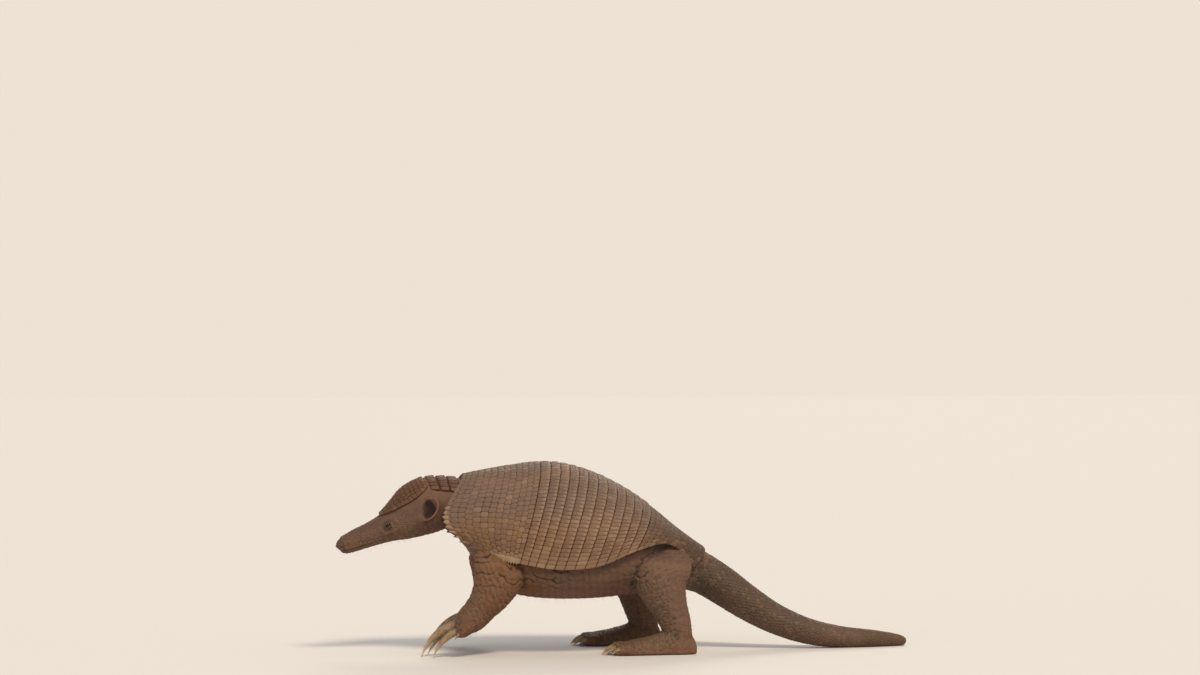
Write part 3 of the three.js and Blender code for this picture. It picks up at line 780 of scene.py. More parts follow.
# Deep cracks where the skin folds at the armpit and the knee: height over the floor, depth, width
ARMPIT_CRACKS = [(231, 4.0, 2.2), (214, 3.2, 1.8), (192, 2.6, 1.7), (171, 1.7, 1.5)]
KNEE_CRACKS = [(176, 2.2, 1.9), (161, 1.8, 1.9), (145, 1.5, 1.9)]


def model_body(points, ways):
    """Folds round the legs, across the belly and where the skin hangs over a joint."""
    x, y, z = points.T
    wander = grain(points, 17, 0.7)
    broad = grain(points, 46, 4.2)
    shift = np.zeros(len(points))
    rear = x > 300
    leg = np.where(rear, ramp(z, 235, 205), ramp(z, 215, 185)) * ramp(np.abs(y), 60, 90)
    net = np.ones(len(points))
    chosen = (leg > 0) & ((x < 260) | (x > 370))
    net[chosen] = cells(points[chosen] * [1, 1, 1.35], 9.5, 2.0)
    heel = ramp(x, 440, 470) * ramp(z, 75, 50)
    strength = np.where(rear, 1.5 * ramp(z, 235, 200), ramp(z, 205, 165)) + 0.5 * heel
    shift -= leg * 0.55 * (1 - net) * (0.7 + 0.6 * wander) * strength
    # The belly, chest and throat are a finer net, and so is the rump
    under = ramp(ways[:, 2], 0.1, -0.25) * ramp(z, 150, 110) + ramp(x, 120, 80) * ramp(z, 290, 250)
    under = np.clip(under + ramp(x, 470, 520) * ramp(x, 600, 560), 0, 1)
    under *= ramp(np.abs(y), 105, 80) * (z > 70)
    chosen = under > 0
    fine_net = cells(points[chosen] * [1, 0.8, 1.3], 9.0, 8.0)
    shift[chosen] -= under[chosen] * 0.85 * (1 - fine_net)
    for side in SIDES.values():
        own = y * side > 40
        fore = own * ramp(x, 265, 215) * ramp(x, -10, 20)
        upper = fore * ramp(z, 120, 165) * ramp(np.abs(y), 62, 88)
        run = z + 0.22 * x + 10 * wander + 18 * broad
        shift -= upper * 0.7 * creases(run, 13)
        for height, depth, width in ARMPIT_CRACKS:
            shift -= upper * depth * near(run, height, width) * ramp(wander + broad, -0.45, -0.1)
        elbow = fore * near(z, 128, 20) * ramp(ways[:, 0], -0.1, 0.5)
        shift -= elbow * 1.3 * creases(z + 6 * wander, 7.5)
        hind = own * ramp(x, 370, 400) * ramp(x, 560, 530) * ramp(z, 45, 70)
        shift -= hind * (0.45 + 0.3 * ramp(z, 130, 180)) * creases(z - 0.3 * x + 7 * wander + 12 * broad, 12)
        knee = hind * near(z, 150, 34) * ramp(x, 470, 425)
        run = z - 0.45 * (x - 420) + 7 * wander + 8 * broad
        for height, depth, width in KNEE_CRACKS:
            shift -= knee * depth * near(run, height, width) * ramp(wander + broad, -0.5, -0.1)
        ankle = own * near(z, 60, 13) * ramp(x, 370, 400)
        shift -= ankle * 1.2 * creases(z + 0.2 * x + 5 * wander, 7)
        wrist = own * near(z, 88, 13) * ramp(x, 160, 130)
        shift -= wrist * 1.0 * creases(z + 0.5 * x + 5 * wander, 7)
    middle = ramp(np.abs(y), 150, 60)
    flank = ramp(x, 60, 150) * ramp(x, 520, 440) * ramp(z, 215, 170)
    shift -= flank * (0.7 + 0.5 * middle) * creases(x + 0.2 * z + 6 * wander, 15)
    shift -= flank * ramp(np.abs(y), 90, 130) * 1.1 * creases(z + 0.05 * x + 8 * wander, 17)
    chest = near(x, 40, 40) * ramp(z, 265, 230) * ramp(np.abs(y), 95, 60)
    shift -= chest * 1.7 * creases(z + 10 * wander + 8 * broad + 0.1 * np.abs(y), 13)
    return points + shift[:, None] * ways


FEET = {"fore": (FORE_CLAWS, HAND_Y), "hind": (HIND_CLAWS, SOLE_Y)}


def claw_frames():
    """Of each claw: the middle of its root, the way out of the toe and up, half width, half depth."""
    for word, side in SIDES.items():
        for part, (table, foot_y) in FEET.items():
            for out, x, z, _, width, depth, pitch, _ in table:
                lean = math.radians(pitch)
                root = np.array([x + STRIDES[part][word], side * (foot_y + out), z])
                way = np.array([-math.cos(lean), 0, -math.sin(lean)])
                up = np.array([-math.sin(lean), 0, math.cos(lean)])
                yield root, way, up, width / 2, depth / 2


def model_toes(points, ways):
    """A fold of skin round the root of each claw, a furrow inside it and creases over the toe."""
    shift = np.zeros(len(points))
    for root, way, up, half, deep in claw_frames():
        offset = points - root
        run = offset @ way
        off_claw = np.hypot(offset[:, 1], offset @ up * half / deep)
        close = (off_claw < half * 1.9 + 3) * ramp(run, -34, -24) * ramp(run, 34, 26)
        fold = 1.5 * near(off_claw, half + 2.6, 1.5) - 1.6 * near(off_claw, half + 0.1, 0.9)
        shift += close * fold * ramp(run, -6, 2)
        shift -= close * 0.9 * creases(run + 1.5 * grain(points, 7, 2.2), 6.5) * ramp(run, 2, -4)
    return points + shift[:, None] * ways


def close_to(points, centre, reach):
    """True for the points within reach of a centre."""
    return np.linalg.norm(points - centre, axis=1) < reach


points = places(skin)
points = model_body(points, normals(skin))
points = model_face(points, normals(skin))
put(skin, points)
# The skin is made finer round the claws and twice round the eyes, and these are modelled last
points = places(skin)
refine(skin, np.any([close_to(points, root, half + 20) for root, _, _, half, _ in claw_frames()], axis=0))
put(skin, model_toes(places(skin), normals(skin)))
for reach in (17, 12.5):
    points = places(skin)
    refine(skin, np.any([close_to(points, eye_centre(side), reach) for side in SIDES.values()], axis=0))
points = model_ears(places(skin), normals(skin))
for side in SIDES.values():
    points = model_eye(points, side)
points[:, 2] = np.maximum(points[:, 2], 0)
put(skin, points)


def smoothed(piece, points, rounds):
    """The same points, each moved to the middle of its neighbours a number of times."""
    edges = np.empty(len(piece.data.edges) * 2, np.int32)
    piece.data.edges.foreach_get("vertices", edges)
    first, second = edges.reshape(-1, 2).T
    count = len(points)
    share = np.bincount(first, minlength=count) + np.bincount(second, minlength=count)
    for _ in range(rounds):
        ahead_of = [np.bincount(first, column[second], count) for column in points.T]
        behind = [np.bincount(second, column[first], count) for column in points.T]
        total = np.array(ahead_of) + np.array(behind)
        points = 0.3 * points + 0.7 * total.T / share[:, None]
    return points


def remember(piece, name, values):
    """Stores a value for each vertex, for the materials to read."""
    layer = piece.data.attributes.new(name, "FLOAT", "POINT")
    layer.data.foreach_set("value", np.asarray(values, np.float32))


# How deep a place lies in a fold, from 0 on a ridge to 1 in a crack; where blood shows; where sand clings
points = places(skin)
x, y, z = points.T
ways = normals(skin)
along, across, up = in_head(points)
deep = ((smoothed(skin, points, 14) - points) * ways).sum(-1)
# The hollows round the roots of the ears are no cracks, and get less of the painted crease shade
deep *= 1 - 0.6 * near(np.abs(across), 68, 30) * near(along, 42, 45)
# From this depth the material paints shade in the cracks and a highlight on the ridges
remember(skin, "cavity", np.clip(0.5 + deep / 1.7, 0, 1))
flush = ramp(z, 150, 110) * ramp(ways[:, 2], 0.1, -0.6) * ramp(x, 90, 160) * 0.6
for side in SIDES.values():
    root, directions = ear_frame(side)
    run = (points - root) @ directions[0]
    cup = ear_share(points) * ramp(-(ways @ directions[2]), -0.1, 0.5) * ramp(run, 66, 52)
    flush = np.maximum(flush, cup)
remember(skin, "flush", flush)
# Deep in the cup of each ear, where the material paints shade near black
remember(skin, "hollow", smoothed(skin, ear_hollow(points, ways)[:, None], 3)[:, 0])
wander = grain(points, 40, 5.0)
leg_sand = ramp(x, 250, 190) * ramp(np.abs(y), 40, 75) * ramp(x, 0, 30) * (0.5 + 0.5 * ramp(z, 90, 160))
remember(skin, "sand", np.clip(leg_sand + 0.4 * ramp(z, 70, 25) + 0.2 * wander, 0, 1))
# The tip and the bridge of the snout and the lids are darker, and so are scattered freckles on the head
tip = ramp(along, 196, 214)
bridge = ramp(along, 96, 130) * ramp(up, -6, 12) * (0.55 + 0.35 * grain(points, 12, 9.0))
off_eye = np.min([np.linalg.norm(points - eye_centre(side), axis=1) for side in SIDES.values()], axis=0)
lids = near(off_eye, 8.5, 5.5)
freckles = ramp(grain(points, 5.5, 6.4), 0.12, 0.5) * ramp(along, 20, 50) * 0.45
dark = np.max([0.75 * tip, 0.8 * bridge, 0.75 * lids, freckles], axis=0)
remember(skin, "dark", np.clip(dark, 0, 1))

# Under the shell nothing shows, so there the hide is left coarse
SKIN_TRIANGLES = 188000
points = places(skin)
x, y, z = points.T
covered = ramp(x, 90, 120) * ramp(x, 545, 530) * ramp(z, 190, 235) * (np.abs(y) < 170)
weigh(skin, "covered", covered)
thinned = 1 - 0.9 * covered.mean()
modify(skin, "DECIMATE", ratio=thinned, vertex_group="covered", vertex_group_factor=1.0)
skin.data.calc_loop_triangles()
modify(skin, "DECIMATE", ratio=SKIN_TRIANGLES / len(skin.data.loop_triangles))
select_only(skin)
bpy.ops.object.shade_smooth()

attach(skin, "root")
FLESH_NODES = ["trunk", "neck", "head", "tail_base", "tail_middle", "tail_tip"]
for word in SIDES:
    FLESH_NODES += [f"{part}_{word}" for part in ("ear", "foreleg", "forefoot", "hindleg", "hindfoot")]
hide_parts(*FLESH_NODES)


def layered(tree, colour, layers):
    """Colours laid over one another, the lowest first: each is given with what its share depends on.

    The share is the product of the rest of a layer. A tuple there is a pattern, the two values of it
    between which it changes smoothly, and what it makes of each of them, nought and one unless given.
    """
    for over, *factors in layers:
        share = 1.0
        for factor in factors:
            if isinstance(factor, tuple):
                given = dict(enumerate(factor))
                spread = node(tree, "ShaderNodeMapRange", given, interpolation_type="SMOOTHSTEP")
                factor = spread.outputs[0]
            share = node(tree, "ShaderNodeMath", {0: share, 1: factor}, operation="MULTIPLY").outputs[0]
        over = linear(over) if isinstance(over, str) else over
        colour = node(tree, "ShaderNodeMix", {0: share, 6: colour, 7: over}, data_type="RGBA").outputs[2]
    return colour


# Tanned hide: matt brown, cloudy in patches as wide as a paw, with a leathery net and fine pores that
# break up the light. It is red where it is thin, dark in its cracks and deep in its ears with painted shade,
# lighter on its ridges with dust and a painted highlight, and ochre where dry sand clings.
hide_material, tree, shader = new_material("bare armadillo hide, caked with sand")
place = node(tree, "ShaderNodeTexCoord").outputs["Object"]
# The size of each pattern's patches in millimetres, and its detail. The pores, which are half a millimetre
# across on a real hide, and its fine net are drawn coarser, or they would not show.
HIDE_PATTERNS = {"mottle": (62.5, 3), "clumps": (26.3, 5), "fine": (1.11, 2), "pores": (2.38, 4)}
NET_SIZE = 3.33
hide = {}
for name, (size, detail) in HIDE_PATTERNS.items():
    given = {"Vector": place, "Scale": 1 / (size * MM), "Detail": detail, "Roughness": 0.55}
    hide[name] = node(tree, "ShaderNodeTexNoise", given).outputs[0]
for name in ("cavity", "flush", "hollow", "dark", "sand"):
    hide[name] = node(tree, "ShaderNodeAttribute", attribute_name=name).outputs["Fac"]
given = {0: hide["clumps"], 1: 0.36, 2: 0.6}
clumps = node(tree, "ShaderNodeMapRange", given, interpolation_type="SMOOTHSTEP").outputs[0]
HIDE_LAYERS = [
    ("#684d3d", (hide["mottle"], 0.3, 0.7)),
    ("#7c5046", hide["flush"]),
    # painted shade, near black deep inside the ear cups
    ("#1d0e0c", hide["hollow"]),
    ("#412e26", hide["dark"]),
    ("#643e1d", hide["sand"], (clumps, 0, 1, 0.55, 1)),
    ("#87684a", (hide["fine"], 0.35, 0.75, 0, 0.2)),
    # painted shade, dark in the cracks of the folds
    ("#33211a", (hide["cavity"], 0.58, 0.95, 0, 0.85)),
    # lighter on the ridges: dust, and a painted highlight
    ("#8f6d4f", (hide["cavity"], 0.46, 0.15, 0, 0.25)),
]
colour = layered(tree, linear("#594032"), HIDE_LAYERS)
given = {0: hide["mottle"], 1: 0.3, 2: 0.7, 3: 0.62, 4: 0.85}
rough = node(tree, "ShaderNodeMapRange", given, interpolation_type="SMOOTHSTEP")
given = {"Vector": place, "Scale": 1 / (NET_SIZE * MM)}
net = node(tree, "ShaderNodeTexVoronoi", given, feature="DISTANCE_TO_EDGE")
given = {0: net.outputs[0], 1: 0.0, 2: 0.16, 3: 0.0, 4: 0.7}
net = node(tree, "ShaderNodeMapRange", given, interpolation_type="SMOOTHSTEP")
pores = node(tree, "ShaderNodeMath", {0: hide["fine"], 1: 0.4, 2: hide["pores"]}, operation="MULTIPLY_ADD")
height = node(tree, "ShaderNodeMath", {0: pores.outputs[0], 1: net.outputs[0]}, operation="ADD")
bump = node(tree, "ShaderNodeBump", {"Height": height.outputs[0], "Strength": 0.4, "Distance": 0.9 * MM})
tree.links.new(colour, shader.inputs["Base Color"])
tree.links.new(rough.outputs[0], shader.inputs["Roughness"])
tree.links.new(bump.outputs[0], shader.inputs["Normal"])
shader.inputs["Specular IOR Level"].default_value = 0.35
skin.data.materials.append(hide_material)

# ---------------------------------------------------------------------------------------------------
# The shell: bony plates under thin horn. The shoulder and hip shields are one piece each, paved with
# small scutes in staggered rows; between them twelve bands, each a single row of long scutes, hinge on
# folds of skin. Every plate rises a little towards its rear edge and laps over the front of the next.

PLATE = 6  # thickness of a plate
PLATE_STEP = 2.5  # how far its rear edge stands over its front edge
BAND_COUNT = 12
SEAM = 0.0009  # half the gap between two plates, as a share of the shell's length
GROOVE = 0.9  # depth of the grooves between scutes
CHART_MILLIMETRE = 0.0004  # a millimetre of a scale on the flat map of the skin that it grows from
chance = np.random.default_rng(5)  # for all that differs from tile to tile, hair to hair and claw to claw
# How each scute rises: inset in millimetres, share of what is left, height, share of the crown's colour;
# the first ring lies under the plate's face
SCUTE_RINGS = [
    (-0.3, 1.0, -1.9, 0.2),
    (0.12, 1.0, -0.35, 0.45),
    (0.55, 1.0, 0.2, 0.85),
    (1.2, 1.0, 0.5, 1.0),
    (1.3, 0.66, 0.72, 1.0),
]
TILE_TILT = 0.022  # how unevenly the tiles slant
TILE_LIFT = 0.12  # how unevenly they stand, in millimetres
TILE_CROWN = 0.08  # how far each rises to its middle


def spans(surface, centres):
    """Millimetres per unit along both directions of a surface, at points given on it."""
    step = 1e-3
    found = []
    for way in ([step, 0], [0, step]):
        ahead_of, behind = centres + way, centres - way
        run = surface(*ahead_of.T, 0.0) - surface(*behind.T, 0.0)
        found.append(np.linalg.norm(run, axis=1) / (2 * step))
    return np.stack(found, -1)


def box_outlines(count, power=5.0, corners=16):
    """Outlines of rounded oblongs, as shares of their half sizes."""
    turn = (np.arange(corners) + 0.5) * 2 * np.pi / corners
    shape = [np.sign(w) * np.abs(w) ** (2 / power) for w in (np.cos(turn), np.sin(turn))]
    return np.repeat(np.stack(shape, -1)[None], count, 0)


def leaf_outlines(count, turn, corners=16):
    """Outlines of blunt points that lie towards a turn from the first direction."""
    outline = box_outlines(1, 3.0, corners)[0]
    outline[:, 1] *= 1 - 0.72 * ramp(outline[:, 0], -0.1, 1.05)
    turn = np.broadcast_to(turn, count)
    spin = np.array([[np.cos(turn), -np.sin(turn)], [np.sin(turn), np.cos(turn)]]).transpose(2, 0, 1)
    return np.einsum("nij,kj->nki", spin, outline)


def cut_away(polygon, way, reach):
    """What is left of a polygon on the near side of a line across a direction."""
    kept = []
    far = [p[0] * way[0] + p[1] * way[1] - reach for p in polygon]
    for k, (here, there) in enumerate(zip(polygon, polygon[1:] + polygon[:1])):
        a, b = far[k], far[(k + 1) % len(far)]
        if a <= 0:
            kept.append(here)
        if (a <= 0) != (b <= 0):
            t = a / (a - b)
            kept.append((here[0] + t * (there[0] - here[0]), here[1] + t * (there[1] - here[1])))
    return kept


def wall_table(walls, count):
    """The walls of a number of cells: the way to each in the surface's directions, and its distance."""
    rows = [np.stack(np.broadcast_arrays(*wall, np.empty(count))[:3], -1) for wall in walls]
    return np.stack(rows, 1).astype(float)


def distances(line):
    """How far each point of a line lies from its first, along the line."""
    steps = np.linalg.norm(np.diff(line, axis=0), axis=1)
    return np.concatenate([[0], np.cumsum(steps)])


def cell_outlines(surface, centres, walls, corners=16):
    """Cells that share out a surface between their walls: middles, outlines and half widths."""
    scale = spans(surface, centres)
    middles, outlines, halves = [], [], []
    for centre, stretch, room in zip(centres, scale, walls):
        offsets = (centres - centre) * stretch
        far = np.linalg.norm(offsets, axis=1)
        near_ones = np.argsort(far)[1:15]
        reach = far[near_ones[-1]]
        polygon = [(-reach, -reach), (reach, -reach), (reach, reach), (-reach, reach)]
        lines = [(offsets[k] / far[k], far[k] / 2) for k in near_ones]
        lines += [((x, y), gap) for x, y, gap in room]
        for way, gap in lines:
            polygon = cut_away(polygon, way, gap)
        ring = np.array(polygon + polygon[:1])
        run = distances(ring)
        marks = np.linspace(0, run[-1], corners, endpoint=False)
        outline = np.stack([np.interp(marks, run, ring[:, i]) for i in (0, 1)], -1)
        outline = (np.roll(outline, 1, 0) + 3 * outline + np.roll(outline, -1, 0)) / 5
        middle = outline.mean(0)
        half = max(min(np.ptp(outline[:, 0]), np.ptp(outline[:, 1])) / 2, 1.5)
        outlines.append((outline - middle) / half)
        halves.append([half, half])
        middles.append(centre + middle / stretch)
    return np.array(middles), np.array(outlines), np.array(halves)


def tube(rings):
    """The four-sided faces between rings of points, all given by their numbers."""
    back, front = rings[:-1], rings[1:]
    return np.stack([back, np.roll(back, -1, 1), np.roll(front, -1, 1), front], -1).reshape(-1, 4)


def scutes(
    surface,
    centres,
    outlines,
    halves,
    rings=SCUTE_RINGS,
    relief=1.0,
    lean=0.0,
    chart_at=None,
    close=0.0,
    worn=0.0,
    scale=None,
    pale=0.0,
):
    """A tile over each centre on a surface, with the colour values of each tile.

    Outlines are shares of the halves, half sizes in millimetres. Relief multiplies the rings' heights,
    lean raises the rear ends, and chart_at gives the tiles' places on the flat map. Where close is above
    nought, their long sides meet without a dirty groove; worn rubs their rear ends pale, as wear and as a
    painted highlight.
    """
    count, corners = outlines.shape[:2]
    if scale is None:
        scale = spans(surface, centres)
    tilt = chance.normal(0, TILE_TILT, (count, 1, 2))
    lift = chance.normal(0, TILE_LIFT, (count, 1))
    points, crowns, chart = [], [], []
    for inset, share, height, crown in [*rings, (0, 0, rings[-1][2] + TILE_CROWN, 1.0)]:
        offset = outlines * (halves - inset)[:, None] * share
        at = centres[:, None] + offset / scale[:, None]
        rise = height * relief + (lift + (offset * (tilt + [lean, 0])).sum(-1)) * crown
        points.append(surface(at[..., 0], at[..., 1], rise))
        beside = close * ramp(np.abs(outlines[..., 1]), 0.55, 0.95) * (crown < 1)
        crowns.append(np.broadcast_to(crown + (1 - crown) * beside, points[-1].shape[:2]))
        chart.append(at if chart_at is None else chart_at[:, None] + offset * CHART_MILLIMETRE)
    # The last ring is one point, the hub of the tile
    hub = len(rings) * corners
    points, crowns, chart = (np.concatenate(v, 1)[:, : hub + 1] for v in (points, crowns, chart))
    ring = np.arange(corners)[None] + np.arange(len(rings))[:, None] * corners
    cap = np.stack([ring[-1], np.roll(ring[-1], -1), np.full(corners, hub)], -1)
    start = (np.arange(count) * (hub + 1))[:, None, None]
    faces = []
    for shape, under in ((tube(ring), False), (cap, False), (ring[:1, ::-1], True)):
        faces.append(((shape[None] + start).reshape(-1, shape.shape[-1]), under))
    # The rear ends are lightened as wear and as a painted highlight on their lips
    rubbed = np.concatenate([worn * ramp(outlines[..., 0], 0.55, 1)] * len(rings) + [np.zeros((count, 1))], 1)
    values = {
        "crown": crowns.ravel(),
        "pale": np.maximum(np.repeat(np.broadcast_to(pale, count), hub + 1), rubbed.ravel()),
        "tone": np.repeat(chance.random(count), hub + 1),
    }
    return points.reshape(-1, 3), faces, chart.reshape(-1, 2), values


UNDER_CROWN = 0.7  # the underside of a plate is cleaner than the grooves of its face


def slab(surface, first, second, tops, bottoms, clean=0.0):
    """A closed plate between two heights over a grid of places; clean where no dirt gathers."""
    grid = (first, second, tops, bottoms, clean)
    first, second, tops, bottoms, clean = np.broadcast_arrays(*grid)
    rows, columns = first.shape
    points = np.concatenate([surface(first, second, h).reshape(-1, 3) for h in (tops, bottoms)])
    top = np.arange(rows * columns).reshape(rows, columns)
    low = top + rows * columns
    rim = np.concatenate([top[0], top[1:, -1], top[-1, -2::-1], top[-2:0:-1, 0]])
    wall = np.stack([rim, rim + rows * columns, np.roll(rim, -1) + rows * columns, np.roll(rim, -1)], -1)
    faces = [(wall, False)]
    for grid, under in ((top, False), (low[:, ::-1], True)):
        quads = np.stack([grid[:-1, :-1], grid[:-1, 1:], grid[1:, 1:], grid[1:, :-1]], -1)
        faces.append((quads.reshape(-1, 4), under))
    chart = np.tile(np.stack([first, second], -1).reshape(-1, 2), (2, 1))
    return points, faces, chart, {"crown": np.append(clean, np.full(first.size, UNDER_CROWN))}


EARTH_COLOUR = "#85602f"
# Painted shade: the horn is darkened towards the rear
REAR_SHADE_COLOUR = "#473a2a"
# The size of each pattern's patches in millimetres, its detail and its roughness. The pits are drawn
# about three times as coarse as real ones, or they would not show.
HORN_PATTERNS = {
    "mottle": (91, 4, 0.55),
    "clouds": (143, 5, 0.62),
    "smears": (41.7, 5, 0.55),
    "settled": (58.8, 4, 0.55),
    "dry": (33.3, 3, 0.55),
    "fine": (4.17, 5, 0.65),
    "pits": (1.92, 3, 0.55),
}


def horn_material(name, low_colour, top_colour, groove_and_shade_colour, pale_colour, dust_colour, dust):
    """Weathered horn over bone: dull, each scute of its own tone, earth in the grooves, dust on the crowns.

    It is browner low down, smeared with earth in front, and finely pitted, and painted shade darkens it
    towards the floor and to the rear.
    """
    material, tree, shader = new_material(name)
    place = node(tree, "ShaderNodeTexCoord").outputs["Object"]
    x, _, z = node(tree, "ShaderNodeSeparateXYZ", {0: place}).outputs
    horn = {}
    for pattern, (size, detail, coarse) in HORN_PATTERNS.items():
        given = {"Vector": place, "Scale": 1 / (size * MM), "Detail": detail, "Roughness": coarse}
        horn[pattern] = node(tree, "ShaderNodeTexNoise", given).outputs[0]
    for value in ("tone", "crown", "pale"):
        horn[value] = node(tree, "ShaderNodeAttribute", attribute_name=value).outputs["Fac"]
    # The height over the floor in metres, blurred by the mottling, and the scutes' own tones likewise
    given = {0: horn["mottle"], 1: 0.14, 2: z}
    level = node(tree, "ShaderNodeMath", given, operation="MULTIPLY_ADD").outputs[0]
    given = {0: horn["mottle"], 1: 0.8, 2: horn["tone"]}
    shade = node(tree, "ShaderNodeMath", given, operation="MULTIPLY_ADD").outputs[0]
    filling = layered(tree, linear(groove_and_shade_colour), [(dust_colour, (horn["dry"], 0.42, 0.62, 0, 0.45))])
    layers = [
        (top_colour, (level, 0.26, 0.41)),
        (EARTH_COLOUR, (x, -0.02, -0.3), (level, 0.4, 0.27), (horn["smears"], 0.47, 0.6, 0.1, 0.75)),
        # painted shade, darker towards the rear
        (REAR_SHADE_COLOUR, (x, -0.06, 0.15, 0, 0.85)),
        # painted shade, darker towards the floor
        (groove_and_shade_colour, (z, 0.27, 0.2, 0, 0.3)),
        (groove_and_shade_colour, (horn["clouds"], 0.5, 0.36, 0, 0.3)),
        (dust_colour, (horn["clouds"], 0.52, 0.68, 0, dust)),
        (groove_and_shade_colour, (shade, 0.2, 1.4, 0.18, 0)),
        # pale margins and spots, and rubbed rear ends that also carry a painted highlight
        (pale_colour, horn["pale"], 0.85),
        (dust_colour, (horn["fine"], 0.4, 0.72, 0, dust)),
        (filling, (horn["crown"], 0.85, 0, 0, 0.85), (horn["settled"], 0.45, 0.65, 1, 0.35)),
    ]
    colour = layered(tree, linear(low_colour), layers)
    given = {0: horn["fine"], 1: 0.35, 2: 0.7, 3: 0.5, 4: 0.78}
    rough = node(tree, "ShaderNodeMapRange", given, interpolation_type="SMOOTHSTEP")
    given = {0: horn["fine"], 1: 1.2, 2: horn["pits"]}
    pits = node(tree, "ShaderNodeMath", given, operation="MULTIPLY_ADD")
    bump = node(tree, "ShaderNodeBump", {"Height": pits.outputs[0], "Strength": 0.3, "Distance": 0.8 * MM})
    tree.links.new(colour, shader.inputs["Base Color"])
    tree.links.new(rough.outputs[0], shader.inputs["Roughness"])
    tree.links.new(bump.outputs[0], shader.inputs["Normal"])
    shader.inputs["Specular IOR Level"].default_value = 0.4
    return material


UNDERSIDE = 0.14  # the share of a piece's flat map that its undersides get
CHART_EDGE = 0.01
SHARP_FROM = 50  # degrees, the least bend that is left sharp


def face_out(piece):
    """Turns the faces of a closed piece outwards."""
    select_only(piece)
    bpy.ops.object.mode_set(mode="EDIT")
    bpy.ops.mesh.select_all(action="SELECT")
    bpy.ops.mesh.normals_make_consistent(inside=False)
    bpy.ops.object.mode_set(mode="OBJECT")


def build(name, parts, material):
    """One piece from tiles and plates, with their colour values and a flat map of their surface."""
    points = to_metres(np.concatenate([part[0] for part in parts]))
    starts = np.cumsum([0] + [len(part[0]) for part in parts])
    corners, sizes, under = [], [], []
    for start, part in zip(starts, parts):
        for shape, below in part[1]:
            corners.append((shape + start).ravel())
            sizes.append(np.full(len(shape), shape.shape[1]))
            under.append(np.full(shape.size, below))
    corners, sizes, under = (np.concatenate(v) for v in (corners, sizes, under))
    mesh = bpy.data.meshes.new(name)
    mesh.vertices.add(len(points))
    mesh.vertices.foreach_set("co", points.astype(np.float32).ravel())
    mesh.loops.add(len(corners))
    mesh.loops.foreach_set("vertex_index", corners.astype(np.int32))
    mesh.polygons.add(len(sizes))
    mesh.polygons.foreach_set("loop_start", np.concatenate([[0], np.cumsum(sizes)[:-1]]).astype(np.int32))
    mesh.update(calc_edges=True)
    for value in ("tone", "crown", "pale"):
        given = [part[3].get(value, 0.0) for part in parts]
        given = np.concatenate([np.broadcast_to(v, len(part[0])) for v, part in zip(given, parts)])
        mesh.attributes.new(value, "FLOAT", "POINT").data.foreach_set("value", given.astype(np.float32))
    chart = np.concatenate([part[2] for part in parts])
    chart = (chart - chart.min(0)) / np.ptp(chart, axis=0)
    flat = chart[corners] * (1 - 2 * CHART_EDGE) + CHART_EDGE
    flat[:, 0] *= np.where(under, UNDERSIDE, 1 - UNDERSIDE)
    flat[:, 0] += np.where(under, 1 - UNDERSIDE, 0)
    mesh.uv_layers.new(name="OFBake").data.foreach_set("uv", flat.astype(np.float32).ravel())
    piece = bpy.data.objects.new(name, mesh)
    bpy.context.collection.objects.link(piece)
    face_out(piece)
    bpy.ops.object.shade_smooth_by_angle(angle=math.radians(SHARP_FROM))
    piece.data.materials.append(material)
    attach(piece, "root")
    return piece


# The colour low down, on top, in the grooves and the painted shade near the floor, where the horn is rubbed
# pale (on the rear lips also a painted highlight), and of the dust on it
SHELL_COLOURS = ["#714d2f", "#655040", "#3d2b1f", "#a18365", "#886850"]
shell_horn = horn_material("dusty armadillo shell horn", *SHELL_COLOURS, dust=0.42)


def raised(first, last, swell=0.0):
    """The shell's surface between two places, rising towards the rear and swelling between."""

    def surface(place, angle, height):
        share = (np.asarray(place) - first) / (last - first)
        swollen = swell * np.sin(np.pi * np.clip(share, 0, 1))
        return shell_point(place, angle, height + PLATE_STEP * share + swollen)

    return surface


def row_angles(surface, place, width, shift):
    """Middles and true width of a row of scutes of about a width, evenly spread from edge to edge."""
    angles = np.linspace(-np.pi / 2, np.pi / 2, 200)
    line = surface(np.full(200, place), angles, np.zeros(200))
    run = distances(line)
    count = round(run[-1] / width)
    marks = (np.arange(count) + 0.5 + 0.5 * shift) / (count + 0.5 * (shift > 0)) * run[-1]
    return np.interp(marks, run, angles), run[-1] / count


UNEVEN = 0.055  # how far a scute strays from its row, in its own widths
THIN_REAR = 3.5  # how much the plate thins towards a rear edge that laps over a band
FRONT_SLOPE = 0.006  # along the shell, the strip in which a shield's front edge comes up
BARE_FRONT = 0.0055  # along the shell, the strip of the hip shield that lies before its first scutes


